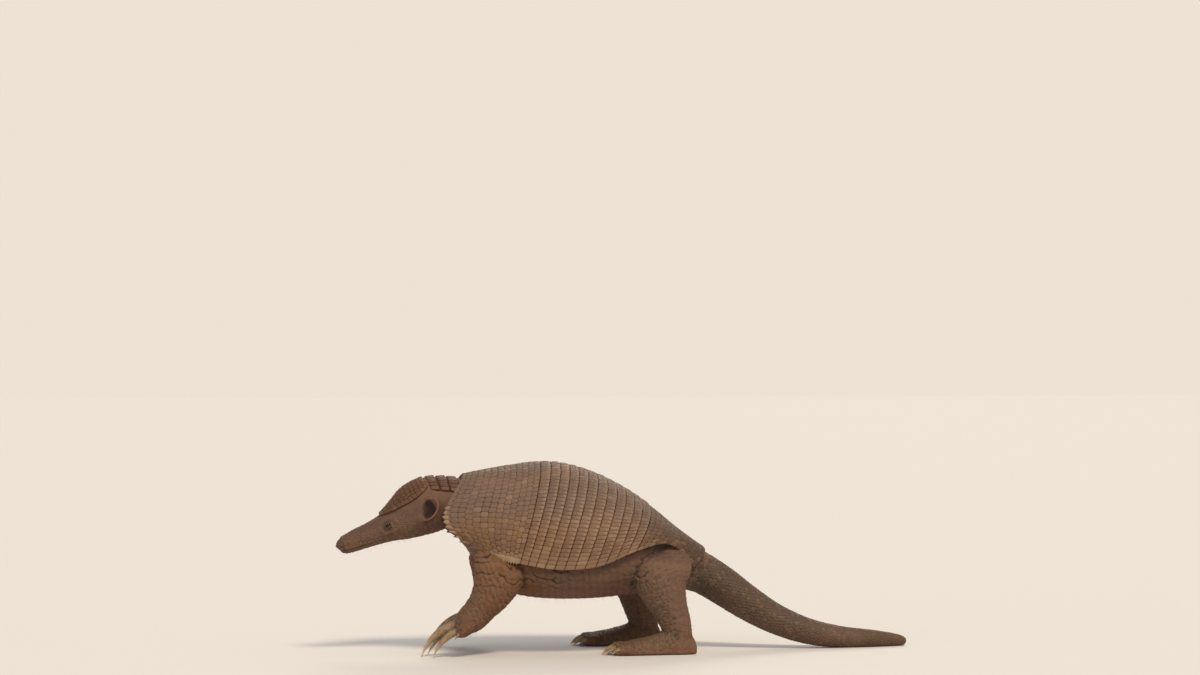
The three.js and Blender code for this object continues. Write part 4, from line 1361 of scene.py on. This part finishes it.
def shield(first, last, rows, width, rim=0.0, lip=0.0, dip=0.0):
    """A shield of the shell, paved in staggered rows: its surface, and its plate and scutes.

    A rim thickens its front edge, a dip lets that lie under the plate before, a lip laps over the next.
    """
    surface = raised(first, last)
    edge = np.pi / 2
    angles = np.linspace(-edge, edge, 91)[:, None]
    start, end = first + SEAM * (1 - 2 * (dip > 0)), last - SEAM + lip
    slope, rest = (start, start + FRONT_SLOPE), (start + 2 * FRONT_SLOPE, end)
    ends = np.concatenate([np.linspace(*slope, 4), np.linspace(*rest, 25)])
    tops = -GROOVE - dip * ramp(ends, *slope[::-1]) - 0.6 * ramp(ends, end - 0.001, end)
    thin = THIN_REAR * (lip > 0) * ramp(ends, last - 0.012, last - 0.002)
    bottoms = -PLATE - rim * ramp(ends, 0.03, 0.0) + thin
    parts = [slab(surface, ends, angles, tops, bottoms, ramp(ends, start + 0.004, start))]
    centres = []
    start += BARE_FRONT * (dip > 0)
    for k in range(rows):
        place = start + (end - start) * (k + 0.5) / rows
        angle = row_angles(surface, place, width * (1 + 0.12 * math.sin(3.1 * k)), k % 2)[0]
        centres.append(np.stack([np.full(len(angle), place), angle], -1))
    centres = np.concatenate(centres)
    scale = spans(surface, centres)
    centres += chance.normal(0, UNEVEN, centres.shape) * width / scale
    centres[:, 0] = np.clip(centres[:, 0], start + 0.003, end - 0.003)
    centres[:, 1] = np.clip(centres[:, 1], -edge + 0.02, edge - 0.02)
    place, turn = centres.T
    walls = [(0, way, (edge - way * turn) * scale[:, 1]) for way in (-1, 1)]
    walls += [(-1, 0, (place - start) * scale[:, 0]), (1, 0, (end - place) * scale[:, 0])]
    walls = wall_table(walls, len(centres))
    centres, outlines, halves = cell_outlines(surface, centres, walls)
    low = ramp(np.abs(centres[:, 1]), edge - 0.16, edge - 0.03)
    spots = chance.random(len(centres)) < 0.05 + 0.3 * ramp(np.abs(centres[:, 1]), 0.9, 1.3)
    pale = np.maximum(0.5 * low, spots * chance.random(len(centres)) * 0.35)
    parts.append(scutes(surface, centres, outlines, halves, relief=0.7, pale=pale))
    return surface, parts


def lower_points(surface, places_along, width, length, beyond):
    """Blunt points that hang over the lower edges of a plate."""
    parts = []
    for side in SIDES.values():
        centres = np.stack([places_along, np.full(len(places_along), side * np.pi / 2)], -1)
        scale = spans(surface, centres)
        centres[:, 1] -= side * (length - beyond) / scale[:, 1]
        outlines = leaf_outlines(len(centres), side * np.pi / 2 + chance.normal(0, 0.12, len(centres)))
        halves = np.array([[width, length]]) * chance.normal(1, 0.1, (len(centres), 1))
        pale = 0.6 + 0.4 * chance.random(len(centres))
        parts.append(scutes(surface, centres, outlines, halves, relief=1.6, pale=pale))
    return parts


SHOULDER = {"rows": 13, "width": 11.5, "rim": 4.5, "lip": 0.0022}
LOWER_POINTS = {"width": 4.9, "length": 7.5, "beyond": 3.4}
surface, parts = shield(0.0, BANDS_FROM, **SHOULDER)
parts += lower_points(surface, np.linspace(0.006, BANDS_FROM - 0.017, 16), **LOWER_POINTS)
# The front edge of the lobe beside the neck, where the lowest points are the largest and palest
for side in SIDES.values():
    angle = np.radians(np.concatenate([np.linspace(14, 52, 13), np.linspace(56, 88, 9)]))
    low = ramp(angle, 0.8, 1.15)
    centres = np.stack([0.007 - 0.003 * low, side * angle], -1)
    outlines = leaf_outlines(len(angle), np.pi + chance.normal(0, 0.12, len(angle)))
    halves = np.stack([(3.2 + 3.4 * low) * chance.normal(1, 0.08, len(angle)), 4.4 + 0.9 * low], -1)
    pale = 0.1 + 0.85 * low * chance.uniform(0.6, 1, len(angle))
    parts.append(scutes(surface, centres, outlines, halves, relief=1.2, pale=pale))
shoulder = build("shoulder_scutes", parts, shell_horn)
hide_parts("shoulder_shield")

BAND_SWELL = 1.1  # how far a band bulges between its edges
BAND_SCUTE = 9.4
# How the long scute of a band rises, as above
BAND_RINGS = [
    (-0.2, 1.0, -1.6, 0.3),
    (0.08, 1.0, -0.15, 0.6),
    (0.45, 1.0, 0.25, 0.95),
    (1.1, 1.0, 0.45, 1.0),
    (1.2, 0.66, 0.58, 1.0),
]
# The section of a band: shares of its length, and its top and bottom there; its rear edge laps over
BAND_SHARES = np.array([-0.02, 0.05, 0.1, 0.3, 0.5, 0.7, 0.85, 0.94, 1.0, 1.035])
BAND_TOPS = np.array([-2.3, -1.8, -1.3, *[-GROOVE] * 4, -0.7, -0.9, -1.5])
BAND_BOTTOMS = np.array([*[-PLATE] * 6, -5.6, -4.5, -2.6, -2.3])
band_places = np.linspace(BANDS_FROM, BANDS_TO, BAND_COUNT + 1)
for k, (first, last) in enumerate(zip(band_places, band_places[1:])):
    surface = raised(first, last, BAND_SWELL)
    pitch = last - first
    angles = np.linspace(-np.pi / 2, np.pi / 2, 121)[:, None]
    parts = [slab(surface, first + pitch * BAND_SHARES, angles, BAND_TOPS, BAND_BOTTOMS)]
    angle, wide = row_angles(surface, first + pitch / 2, BAND_SCUTE, 0)
    centres = np.stack([np.full(len(angle), first + pitch * 0.565), angle], -1)
    scale = spans(surface, centres)
    halves = np.stack([pitch * scale[:, 0] * 0.472, np.full(len(angle), wide / 2 - 0.05)], -1)
    halves[:, 0] += chance.normal(0, 0.25, len(angle))
    pale = 0.25 * (chance.random(len(angle)) < 0.12) + ramp(np.abs(angle), 1.36, 1.54) * 0.35
    outlines = box_outlines(len(angle), 7.0)
    # Their rear ends are lightened as wear and as a painted highlight
    given = {"rings": BAND_RINGS, "relief": 0.8, "close": 0.97, "worn": 0.42, "pale": pale}
    parts.append(scutes(surface, centres, outlines, halves, **given))
    band = build(f"band_scutes_{k + 1}", parts, shell_horn)
    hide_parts(f"band_{k + 1}")

HIP = {"rows": 12, "width": 10.5, "dip": 3.2}
_, parts = shield(BANDS_TO, 1.0, **HIP)
hip = build("hip_scutes", parts, shell_horn)
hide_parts("hip_shield")

# ---------------------------------------------------------------------------------------------------
# The head shield and the nape: an oval of some hundred irregular scutes set in the skin between the ears
# and the root of the snout, and behind it three short bands of the same horn that let the neck bend.

HEAD_COLOURS = ["#4b2d19", "#573620", "#2b1a10", "#84613f", "#6d4a2c"]
head_horn = horn_material("dusty armadillo head horn", *HEAD_COLOURS, dust=0.25)
# The head shield: its ends and widest place in millimetres along the head, its half width in degrees
HEAD_SHIELD = {"from": 0, "to": 115, "middle": 48, "reach": 74, "spread": 62, "height": 4, "depth": 3}
HEAD_SCUTE = 9.8
HEAD_ROW_STEP = 9.6
# The nape bands: their ends in rows of the neck's table, and their heights over it at these ends
NAPE_BANDS = {"from": 0.14, "to": 1.64, "spread": 56, "height": (3.5, 5), "count": 3}
NAPE_HEM = {"to": 1.97, "height": (2.2, 0.6)}  # a last low row that runs in under the shoulder shield


def shield_limit(along):
    """Half the angle that the head shield covers at a distance along the head."""
    share = (np.asarray(along) - HEAD_SHIELD["middle"]) / HEAD_SHIELD["reach"]
    return math.radians(HEAD_SHIELD["spread"]) * np.sqrt(np.maximum(0.1, 1 - share**2))


def head_surface(along, angle, height):
    """The face of the head shield: along the head in millimetres, angle from its top, height."""
    along, angle, height = np.broadcast_arrays(along, angle, height)
    row = head_row(along)
    over = HEAD_SHIELD["height"] + height
    return head_point(along, np.sin(angle) * (row[..., 2] + over), np.cos(angle) * (row[..., 0] + over))


share = np.linspace(-1, 1, 33)[:, None]
ends = np.linspace(HEAD_SHIELD["from"] + 1, HEAD_SHIELD["to"] - 1, 30)
low = -HEAD_SHIELD["height"] - HEAD_SHIELD["depth"]
parts = [slab(head_surface, ends, share * shield_limit(ends), -GROOVE, low)]
centres = []
for k, along in enumerate(np.arange(5.0, 113, HEAD_ROW_STEP)):
    limit = shield_limit(along)
    wide = head_row(along)[2] * limit * 2
    count = max(round(wide / (HEAD_SCUTE + 1.2 * math.sin(2.2 * k))), 3)
    marks = (np.arange(count) + 0.5) / count * 2 - 1
    centres.append(np.stack([np.full(count, along), marks * limit * (1 - 0.25 / count)], -1))
centres = np.concatenate(centres)
scale = spans(head_surface, centres)
centres += chance.normal(0, 1.25, centres.shape) / scale
centres[:, 0] = np.clip(centres[:, 0], 2.5, 112)
limit = shield_limit(centres[:, 0])
centres[:, 1] = np.clip(centres[:, 1], -limit + 0.04, limit - 0.04)
slope = (shield_limit(centres[:, 0] + 0.5) - shield_limit(centres[:, 0] - 0.5)) / scale[:, 0]
steep = np.hypot(slope, 1 / scale[:, 1])
walls = [(-1, 0, centres[:, 0] - 0.5), (1, 0, HEAD_SHIELD["to"] - 0.5 - centres[:, 0])]
for side in SIDES.values():
    walls.append((-slope / steep, side / scale[:, 1] / steep, (limit - side * centres[:, 1]) / steep))
walls = wall_table(walls, len(centres))
border = ramp(walls[..., 2].min(1), 7, 3) * 0.35
centres, outlines, halves = cell_outlines(head_surface, centres, walls)
parts.append(scutes(head_surface, centres, outlines, halves, relief=1.25, pale=border))
head_plate = build("head_shield_scutes", parts, head_horn)
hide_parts("head_shield")


def nape_surface(first, last, low_over, high_over):
    """The neck's top between two places, in rows from its head end, with the heights over it there."""

    def surface(place, angle, height):
        place, angle, height = np.broadcast_arrays(place, angle, height)
        row = smooth(NECK_ROWS, len(NECK_ROWS) - 1 - place)
        over = height + low_over + (high_over - low_over) * (place - first) / (last - first)
        across = np.sin(angle) * (row[..., 5] + over)
        return turn_about(row[..., 0], row[..., 1], row[..., 2], across, np.cos(angle) * (row[..., 3] + over))

    return surface


# The section of a nape band, as that of a shell band
NAPE_SHARES = np.array([0.0, 0.08, 0.18, 0.5, 0.9, 0.98])
NAPE_TOPS = np.array([-3.2, -2.4, -1.2, -GROOVE, -0.7, -1.4])
NAPE_BOTTOMS = np.array([-6.2, -6.2, -6.2, -6.2, -5.0, -3.4])
nape_places = np.linspace(NAPE_BANDS["from"], NAPE_BANDS["to"], NAPE_BANDS["count"] + 1)
nape_rows = [(first, last, *NAPE_BANDS["height"]) for first, last in zip(nape_places, nape_places[1:])]
nape_rows.append((NAPE_BANDS["to"] + 0.01, NAPE_HEM["to"], *NAPE_HEM["height"]))
nape_parts = []
for k, (first, last, low_over, high_over) in enumerate(nape_rows):
    surface = nape_surface(first, last, low_over, high_over)
    pitch = last - first
    edge = math.radians(NAPE_BANDS["spread"] - 4 * (k == NAPE_BANDS["count"]))
    angles = np.linspace(-edge, edge, 41)[:, None]
    parts = [slab(surface, first + pitch * NAPE_SHARES, angles, NAPE_TOPS, NAPE_BOTTOMS)]
    count = 12 + k % 2
    turn = ((np.arange(count) + 0.5) / count * 2 - 1) * edge
    centres = np.stack([np.full(count, first + pitch * 0.56), turn], -1)
    scale = spans(surface, centres)
    halves = np.stack([pitch * scale[:, 0] * 0.42, scale[:, 1] * edge / count - 0.3], -1)
    pale = 0.4 * ramp(np.abs(centres[:, 1]), edge - 0.2, edge)
    parts.append(scutes(surface, centres, box_outlines(count, 4.0), halves, pale=pale))
    nape_parts.append(parts)
hem = nape_parts.pop()
nape_parts[-1] += hem
for k, parts in enumerate(nape_parts):
    nape = build(f"nape_scutes_{k + 1}", parts, head_horn)
    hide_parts(f"nape_band_{k + 1}")

# ---------------------------------------------------------------------------------------------------
# The scales of the tail and limbs: small round horny scales that stand in close rings round the tail,
# and thinly over the front of the legs, the feet and the cheeks.

TAIL_COLOURS = ["#634833", "#5d4939", "#2b1d16", "#9a7c58", "#82664b"]
tail_horn = horn_material("small horny scales on skin", *TAIL_COLOURS, dust=0.35)
LIMB_COLOURS = ["#62462d", "#5f4938", "#2f2018", "#8d7050", "#7d6246"]
limb_horn = horn_material("small horny scales on the limbs", *LIMB_COLOURS, dust=0.3)
SCALE_CORNERS = 10
# How each scale rises, as for the scutes
TAIL_RINGS = [(-0.2, 1.0, -1.3, 0.0), (0.15, 1.0, 0.15, 0.4), (0.75, 1.0, 0.5, 1.0)]
LIMB_RINGS = [(-0.25, 1.0, -0.9, 0.1), (0.05, 1.0, 0.05, 0.5), (0.7, 1.0, 0.5, 1.0), (0.7, 0.6, 0.7, 1.0)]

skin_points = places(skin)
skin.data.calc_loop_triangles()
triangles = np.empty(len(skin.data.loop_triangles) * 3, np.int32)
skin.data.loop_triangles.foreach_get("vertices", triangles)
hide = BVHTree.FromPolygons(skin_points.tolist(), triangles.reshape(-1, 3).tolist())


def onto_skin(points):
    """The nearest points of the skin and its directions there."""
    found = [hide.find_nearest(Vector(p)) for p in points.tolist()]
    return np.array([f[0] for f in found]), np.array([f[1] for f in found])


def on_hide(surface):
    """A surface laid down on the skin, and heights from there."""

    def laid(first, second, height):
        flat = surface(first, second, 0.0)
        found, ways = onto_skin(flat.reshape(-1, 3))
        found += ways * np.broadcast_to(height, flat.shape[:-1]).reshape(-1, 1)
        found[:, 2] = np.maximum(found[:, 2], 0)
        return found.reshape(flat.shape)

    return laid


def tail_surface(place, angle, height):
    """The tail: place in rows of its table, less than nought on the rump before it, angle from its top."""
    place, angle, height = np.broadcast_arrays(place, angle, height)
    first_step = np.array(TAIL_ROWS[1]) - TAIL_ROWS[0]
    row = smooth(TAIL_ROWS, place) + np.minimum(place, 0)[..., None] * first_step
    run = smooth(TAIL_ROWS, place + 0.02) - smooth(TAIL_ROWS, place - 0.02)
    fall = np.arctan2(-run[..., 2], run[..., 0])
    rise = np.cos(angle) * (row[..., 4] + height)
    x = row[..., 0] + rise * np.sin(fall)
    z = np.maximum(row[..., 2] + rise * np.cos(fall), 0)
    return np.stack([x, row[..., 1] + np.sin(angle) * (row[..., 3] + height), z], -1)


RUMP_SCALES = 0.7  # how far the scales reach forward below the rump, in rows of the tail's table
TAIL_SCALES_TO = 7.93
# Length of a scale at places along the tail
TAIL_SCALE = {"place": [0, 3.5, 7], "length": [7.2, 6.6, 4.8]}
places_along = np.linspace(-RUMP_SCALES, TAIL_SCALES_TO, 1200)
middles = tail_surface(places_along, np.pi / 2, 0.0)
run = distances(middles)
centres, sizes = [], []
reach, k = 4.0, 0
while reach < run[-1] - 3:
    place = np.interp(reach, run, places_along)
    long = np.interp(place, TAIL_SCALE["place"], TAIL_SCALE["length"])
    _, _, _, half, up = smooth(TAIL_ROWS, place)
    round_it = math.pi * (half + up)
    count = max(round(round_it / (long * 1.12)), 9)
    turn = (np.arange(count) + 0.5 * (k % 2)) * 2 * math.pi / count
    centres.append(np.stack([np.full(count, place), turn], -1))
    sizes.append(np.full((count, 2), [long * 0.56, round_it / count / 2 - 0.25]))
    reach += long
    k += 1
centres, halves = np.concatenate(centres), np.concatenate(sizes)
shown = (centres[:, 0] > 0.05) | (np.cos(centres[:, 1]) < 0.35 + centres[:, 0])
centres, halves = centres[shown], halves[shown]
halves *= chance.normal(1, 0.04, halves.shape)
outlines = leaf_outlines(len(centres), 0.0, SCALE_CORNERS)
# Half as pointed as a leaf
outlines[..., 1] = outlines[..., 1] * 0.5 + box_outlines(1, 3.0, SCALE_CORNERS)[..., 1] * 0.5
pale = 0.22 * (chance.random(len(centres)) < 0.1)
given = {"lean": 0.07, "scale": spans(tail_surface, centres), "pale": pale}
tail_parts = [scutes(on_hide(tail_surface), centres, outlines, halves, TAIL_RINGS, **given)]
build("tail_scales", tail_parts, tail_horn)


def foot_surface(side, stride):
    """The top of a hind foot: place in rows of its table from the heel, angle over it."""

    def surface(place, angle, height):
        place, angle, height = np.broadcast_arrays(place, angle, height)
        x, half, over = np.moveaxis(smooth(HINDFOOT_ROWS, place), -1, 0)
        y = side * SOLE_Y + np.sin(angle) * (half + height)
        return np.stack([x + stride, y, np.maximum(-np.cos(angle), 0) * (over + height)], -1)

    return surface


def head_skin(along, angle, height):
    """The skin of the head: along the head in millimetres, angle from its top, height."""
    along, angle, height = np.broadcast_arrays(along, angle, height)
    up, down, half = np.moveaxis(head_row(along), -1, 0)
    across, rise = egg(angle, up + height, down + height, half + height)
    return head_point(along, across, rise)


LONGEST_SCALE = 7.0  # from a scale's middle to its edge
# Each field of scales: surface, first and last place, size there, middle and half width of its angles
fields = []
for word, side in SIDES.items():
    fore, hind = STRIDES["fore"][word], STRIDES["hind"][word]
    fields.append((limb_surface(FORELEG_ROWS, side, fore), (2.6, 6.9), (7.5, 8.5), (math.pi, 1.35)))
    fields.append((limb_surface(HINDLEG_ROWS, side, hind), (1.4, 4.7), (7.0, 7.5), (math.pi, 1.8)))
    fields.append((foot_surface(side, hind), (2.6, 6.6), (7.5, 7.5), (math.pi, 1.3)))
    fields.append((head_skin, (60, 100), (4.8, 4.2), (side * 1.95, 0.42)))
limb_parts = []
for field, (surface, (first, last), (upper, lower), (middle, spread)) in enumerate(fields):
    marks = np.linspace(first, last, 200)
    line = surface(marks, np.full(200, middle), np.zeros(200))
    run = distances(line)
    centres, reach, row = [], 0.0, 0
    while reach < run[-1]:
        place = np.interp(reach, run, marks)
        size = np.interp(reach, [0, run[-1]], [upper, lower]) * (1 + 0.12 * math.sin(2.3 * row))
        wide = spans(surface, np.array([[place, middle]]))[0, 1] * spread * 2
        count = max(round(wide / size), 4)
        turn = middle + ((np.arange(count) + 0.5 * (row % 2)) / count * 2 - 1) * spread
        centres.append(np.stack([np.full(count, place), turn], -1))
        reach += size * 0.9
        row += 1
    centres = np.concatenate(centres)
    scale = spans(surface, centres)
    centres += chance.normal(0, 0.9, centres.shape) / scale
    walls = wall_table([(*way, LONGEST_SCALE) for way in ((1, 0), (-1, 0), (0, 1), (0, -1))], len(centres))
    centres, outlines, halves = cell_outlines(surface, centres, walls, SCALE_CORNERS)
    centres[:, 0] = np.clip(centres[:, 0], first, last)
    aside = ramp(np.abs(centres[:, 1] - middle) / spread, 0.5, 1.0)
    edge = np.maximum(aside, ramp(centres[:, 0], first + 0.3 * (last - first), first))
    # A scale is left out at random near the field's border, and where it would bridge two toes
    ring = centres[:, None] + outlines * halves[:, None] / spans(surface, centres)[:, None]
    laid = on_hide(surface)(ring[..., 0], ring[..., 1], 0.0)
    reach = np.linalg.norm(laid - laid.mean(1, keepdims=True), axis=2).max(1)
    kept = (chance.random(len(centres)) > 0.7 * edge**2) & (reach < 1.35 * np.linalg.norm(halves, axis=1))
    centres, outlines, halves, edge = centres[kept], outlines[kept], halves[kept], edge[kept]
    halves = halves * (1 - 0.35 * edge * chance.random(len(edge)))[:, None]
    flat = centres * [0.1, 0.02] + [0, field / len(fields)]
    pale = 0.25 * chance.random(len(edge))
    given = {"lean": 0.05, "chart_at": flat, "scale": spans(surface, centres), "pale": pale}
    limb_parts.append(scutes(on_hide(surface), centres, outlines, halves, LIMB_RINGS, **given))
build("limb_scales", limb_parts, limb_horn)

# ---------------------------------------------------------------------------------------------------
# The bristles: a few hundred stiff, pale hairs on the belly, the legs and the chin, all the coat that the
# animal has. Each is rooted in the skin, tapers to its tip and is swept to the rear.

BRISTLE_COUNT = 620
BRISTLE_TRIES = 24000
BRISTLE_STEPS = 5
BRISTLE_RADIUS = 0.19
BRISTLE_LENGTHS = (6, 15)
BRISTLE_TRAIL = [0.62, 0.0, -0.5]  # the way that they are swept, backwards and down
# The share of the tries that grows a bristle, on the belly, the chin and the legs
BELLY_HAIR = 0.1
CHIN_HAIR = 0.1
LEG_HAIR = 0.03
# Stiff hair: straw brown, with a dull gloss
bristle_material, _, shader = new_material("pale bristle")
shader.inputs["Base Color"].default_value = linear("#a48c6c")
shader.inputs["Roughness"].default_value = 0.55
picks = chance.choice(len(skin_points), BRISTLE_TRIES, replace=False)
found, ways_out = [], normals(skin)
for pick in picks:
    x, y, z = skin_points[pick]
    way = ways_out[pick]
    belly = 100 < x < 520 and z < 210 and abs(y) < 150 and abs(way[2]) < 0.999 and way[2] < 0.3
    chin = x < -60 and way[2] < -0.25
    leg = abs(y) > 70 and 40 < z < 215
    if chance.random() < (BELLY_HAIR * belly + CHIN_HAIR * chin + LEG_HAIR * leg):
        found.append(pick)
found = np.array(found[:BRISTLE_COUNT])
roots, ways = skin_points[found], ways_out[found]
trail = np.array(BRISTLE_TRAIL) + chance.normal(0, 0.22, (len(found), 3))
lengths = chance.uniform(*BRISTLE_LENGTHS, len(found))
aside = np.cross(ways, trail)
aside /= np.linalg.norm(aside, axis=1)[:, None]
over = np.cross(aside, ways)
turns = np.arange(3) * 2 * math.pi / 3
around = np.cos(turns)[:, None] * aside[:, None] + np.sin(turns)[:, None] * over[:, None]
points = []
for share in np.linspace(0, 1, BRISTLE_STEPS):
    middle = roots + (ways * (share - 0.08) + trail * share**2) * lengths[:, None] * 0.7
    points.append(middle[:, None] + around * (BRISTLE_RADIUS * (1 - 0.85 * share)))
points = np.stack(points, 1).reshape(-1, 3)
points[:, 2] = np.maximum(points[:, 2], 0.3)
ring = np.arange(BRISTLE_STEPS * 3).reshape(BRISTLE_STEPS, 3)
start = np.arange(len(found))[:, None, None] * BRISTLE_STEPS * 3
faces = [((tube(ring) + start).reshape(-1, 4), False)]
for end in (ring[0, ::-1], ring[-1]):
    faces.append(((end[None] + start).reshape(-1, 3), False))
# On the flat map each bristle is a patch 0.003 across at the place of its root
CHART_LENGTH = 1600
CHART_PATCH = 0.003
patch_x = np.tile([0, CHART_PATCH, CHART_PATCH], BRISTLE_STEPS)
patch_y = np.repeat(np.linspace(0, CHART_PATCH, BRISTLE_STEPS), 3)
patches = np.tile(np.stack([patch_x, patch_y], -1), (len(found), 1))
chart = np.repeat(roots[:, [0, 2]] / CHART_LENGTH, BRISTLE_STEPS * 3, 0) + patches
build("bristles", [(points, faces, chart, {})], bristle_material)

# ---------------------------------------------------------------------------------------------------
# The eyes: small, dark and wet, each a glass-smooth ball that lies nearly hidden between heavy lids, with
# the clear cornea bulging from it.

# A wet ball: nearly black, with one sharp light in it
eye_material, _, shader = new_material("wet dark eye")
shader.inputs["Base Color"].default_value = linear("#120b08")
shader.inputs["Roughness"].default_value = 0.05
shader.inputs["IOR"].default_value = 1.36

for word, side in SIDES.items():
    bpy.ops.object.select_all(action="DESELECT")
    bpy.ops.mesh.primitive_uv_sphere_add(segments=40, ring_count=24, radius=EYE_RADIUS * MM)
    eye = bpy.context.active_object
    eye.name = f"eyeball_{word}"
    bpy.ops.object.shade_smooth()
    centre, directions = eye_centre(side), eye_directions(side)
    ball_points = places(eye) + [ORIGIN_X, 0, 0]
    # The cornea bulges from the ball; the sphere's pole faces out of the eye
    ball_points *= 1 + 0.05 * ramp(ball_points[:, 2:] / EYE_RADIUS, 0.78, 0.95)
    put(eye, ball_points @ directions + centre)
    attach(eye, "root")
    eye.data.materials.append(eye_material)
    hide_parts(f"eye_{word}")

# ---------------------------------------------------------------------------------------------------
# The claws: four short and one huge sickle on each forefoot, five hoof-like nails on each hind foot, of
# solid horn, ridged along their length, stained at the root and worn pale and blunt at the tip.

# Solid horn: streaks from root to tip, brown at the root, bone pale at the worn tip, earth in blotches
claw_material, tree, shader = new_material("worn claw horn")
place = node(tree, "ShaderNodeTexCoord").outputs["Object"]
claw = {}
for name in ("along", "length", "round_y", "round_z"):
    claw[name] = node(tree, "ShaderNodeAttribute", attribute_name=name).outputs["Fac"]
# The streaks follow the claw: they are read from the length along it and the turn round its section
STREAK_LENGTH = 8.333  # millimetres
STREAKS_ACROSS = 6  # in half the width of a claw
BLOTCH_SIZE = 22.2  # millimetres
given = {0: claw["length"], 1: 1 / (STREAK_LENGTH * STREAKS_ACROSS)}
drawn = node(tree, "ShaderNodeMath", given, operation="MULTIPLY")
given = {"X": drawn.outputs[0], "Y": claw["round_y"], "Z": claw["round_z"]}
grown = node(tree, "ShaderNodeCombineXYZ", given)
given = {"Vector": grown.outputs[0], "Scale": STREAKS_ACROSS, "Detail": 5, "Roughness": 0.6}
streaks = node(tree, "ShaderNodeTexNoise", given).outputs[0]
given = {"Vector": place, "Scale": 1 / (BLOTCH_SIZE * MM), "Detail": 4, "Roughness": 0.55}
blotches = node(tree, "ShaderNodeTexNoise", given).outputs[0]
CLAW_LAYERS = [
    ("#a38a66", (streaks, 0.35, 0.65)),
    ("#4a3322", (claw["along"], 0.3, 0, 0, 0.75)),
    ("#cbb68f", (claw["along"], 0.55, 1, 0, 0.75)),
    ("#7c5833", (blotches, 0.52, 0.7, 0, 0.55)),
]
given = {0: streaks, 1: 0.35, 2: 0.65, 3: 0.32, 4: 0.55}
rough = node(tree, "ShaderNodeMapRange", given, interpolation_type="SMOOTHSTEP")
bump = node(tree, "ShaderNodeBump", {"Height": streaks, "Strength": 0.4, "Distance": 0.8 * MM})
tree.links.new(layered(tree, linear("#6f5639"), CLAW_LAYERS), shader.inputs["Base Color"])
tree.links.new(rough.outputs[0], shader.inputs["Roughness"])
tree.links.new(bump.outputs[0], shader.inputs["Normal"])

CLAW_SIDES = 32
CLAW_RINGS = 34
CLAW_ROOT = 0.1  # the share of a claw's length that is added inside the toe


def claw_body(name, side, foot_y, stride, claw_row):
    """One claw, bent evenly from the pitch of its root to that of its tip."""
    out, x, z, length, width, depth, root_pitch, tip_pitch = claw_row
    root, bend = math.radians(root_pitch), math.radians(tip_pitch - root_pitch)
    radius = length / bend
    turn = np.arange(CLAW_SIDES) * 2 * math.pi / CLAW_SIDES
    seed = chance.uniform(0, 50)
    outside = 1 - (1 - np.linspace(0, 1, CLAW_RINGS - 2)) ** 1.25
    shares = np.concatenate([[-CLAW_ROOT, -CLAW_ROOT / 2], outside])
    rings = []
    for share in shares:
        pitch = root + bend * share
        # It keeps its thickness for long and ends in a blunt, round tip
        size = max(0.13, 1 - abs(share) ** 1.7) * math.sqrt(max(1 - ramp(share, 0.93, 1.0) ** 2, 0.03))
        # Fine ridges along it, faint rings of growth, and chips towards the tip
        ridges = 1 + 0.012 * np.sin(13 * turn + seed) + 0.008 * np.sin(21 * turn + 2 * seed)
        ridges += 0.01 * noise.noise(Vector((share * length / 4.0, seed, 0)))
        chips = [noise.noise(Vector((math.cos(t) * 2, math.sin(t) * 2, share * 9 + seed))) for t in turn]
        ridges += np.array(chips) * 0.07 * ramp(share, 0.5, 1)
        # Flat sides that meet in a blunt keel above, and a groove below
        across = np.sin(turn) * width / 2 * size * ridges * (1 - 0.12 * near(np.cos(turn), 0.75, 0.3))
        up = np.sign(np.cos(turn)) * np.abs(np.cos(turn)) ** 0.9 * depth / 2 * size * ridges
        up = up + depth * 0.16 * size * near(turn, math.pi, 0.45)
        ahead_of = radius * (math.sin(pitch) - math.sin(root))
        drop = radius * (math.cos(root) - math.cos(pitch))
        run = x + stride - ahead_of - up * math.sin(pitch)
        level = np.maximum(z - drop + up * math.cos(pitch), 0.05)
        rings.append(np.stack([run, side * (foot_y + out) + across, level], -1))
    body = loft(name, rings)
    along = np.append(np.repeat(np.maximum(shares, 0), CLAW_SIDES), [0, 1])
    turns = np.append(np.tile(turn, CLAW_RINGS), [0, 0])
    remember(body, "along", along)
    remember(body, "length", along * length)
    remember(body, "round_y", np.sin(turns) + seed)
    remember(body, "round_z", np.cos(turns))
    face_out(body)
    bpy.ops.object.shade_smooth()
    body.data.materials.append(claw_material)
    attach(body, "root")
    return body


for word, side in SIDES.items():
    for part, (table, foot_y) in FEET.items():
        for k, claw_row in enumerate(table):
            body = claw_body(f"{part}_horn_{word}_{k + 1}", side, foot_y, STRIDES[part][word], claw_row)
            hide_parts(f"{part}_claw_{word}_{k + 1}")
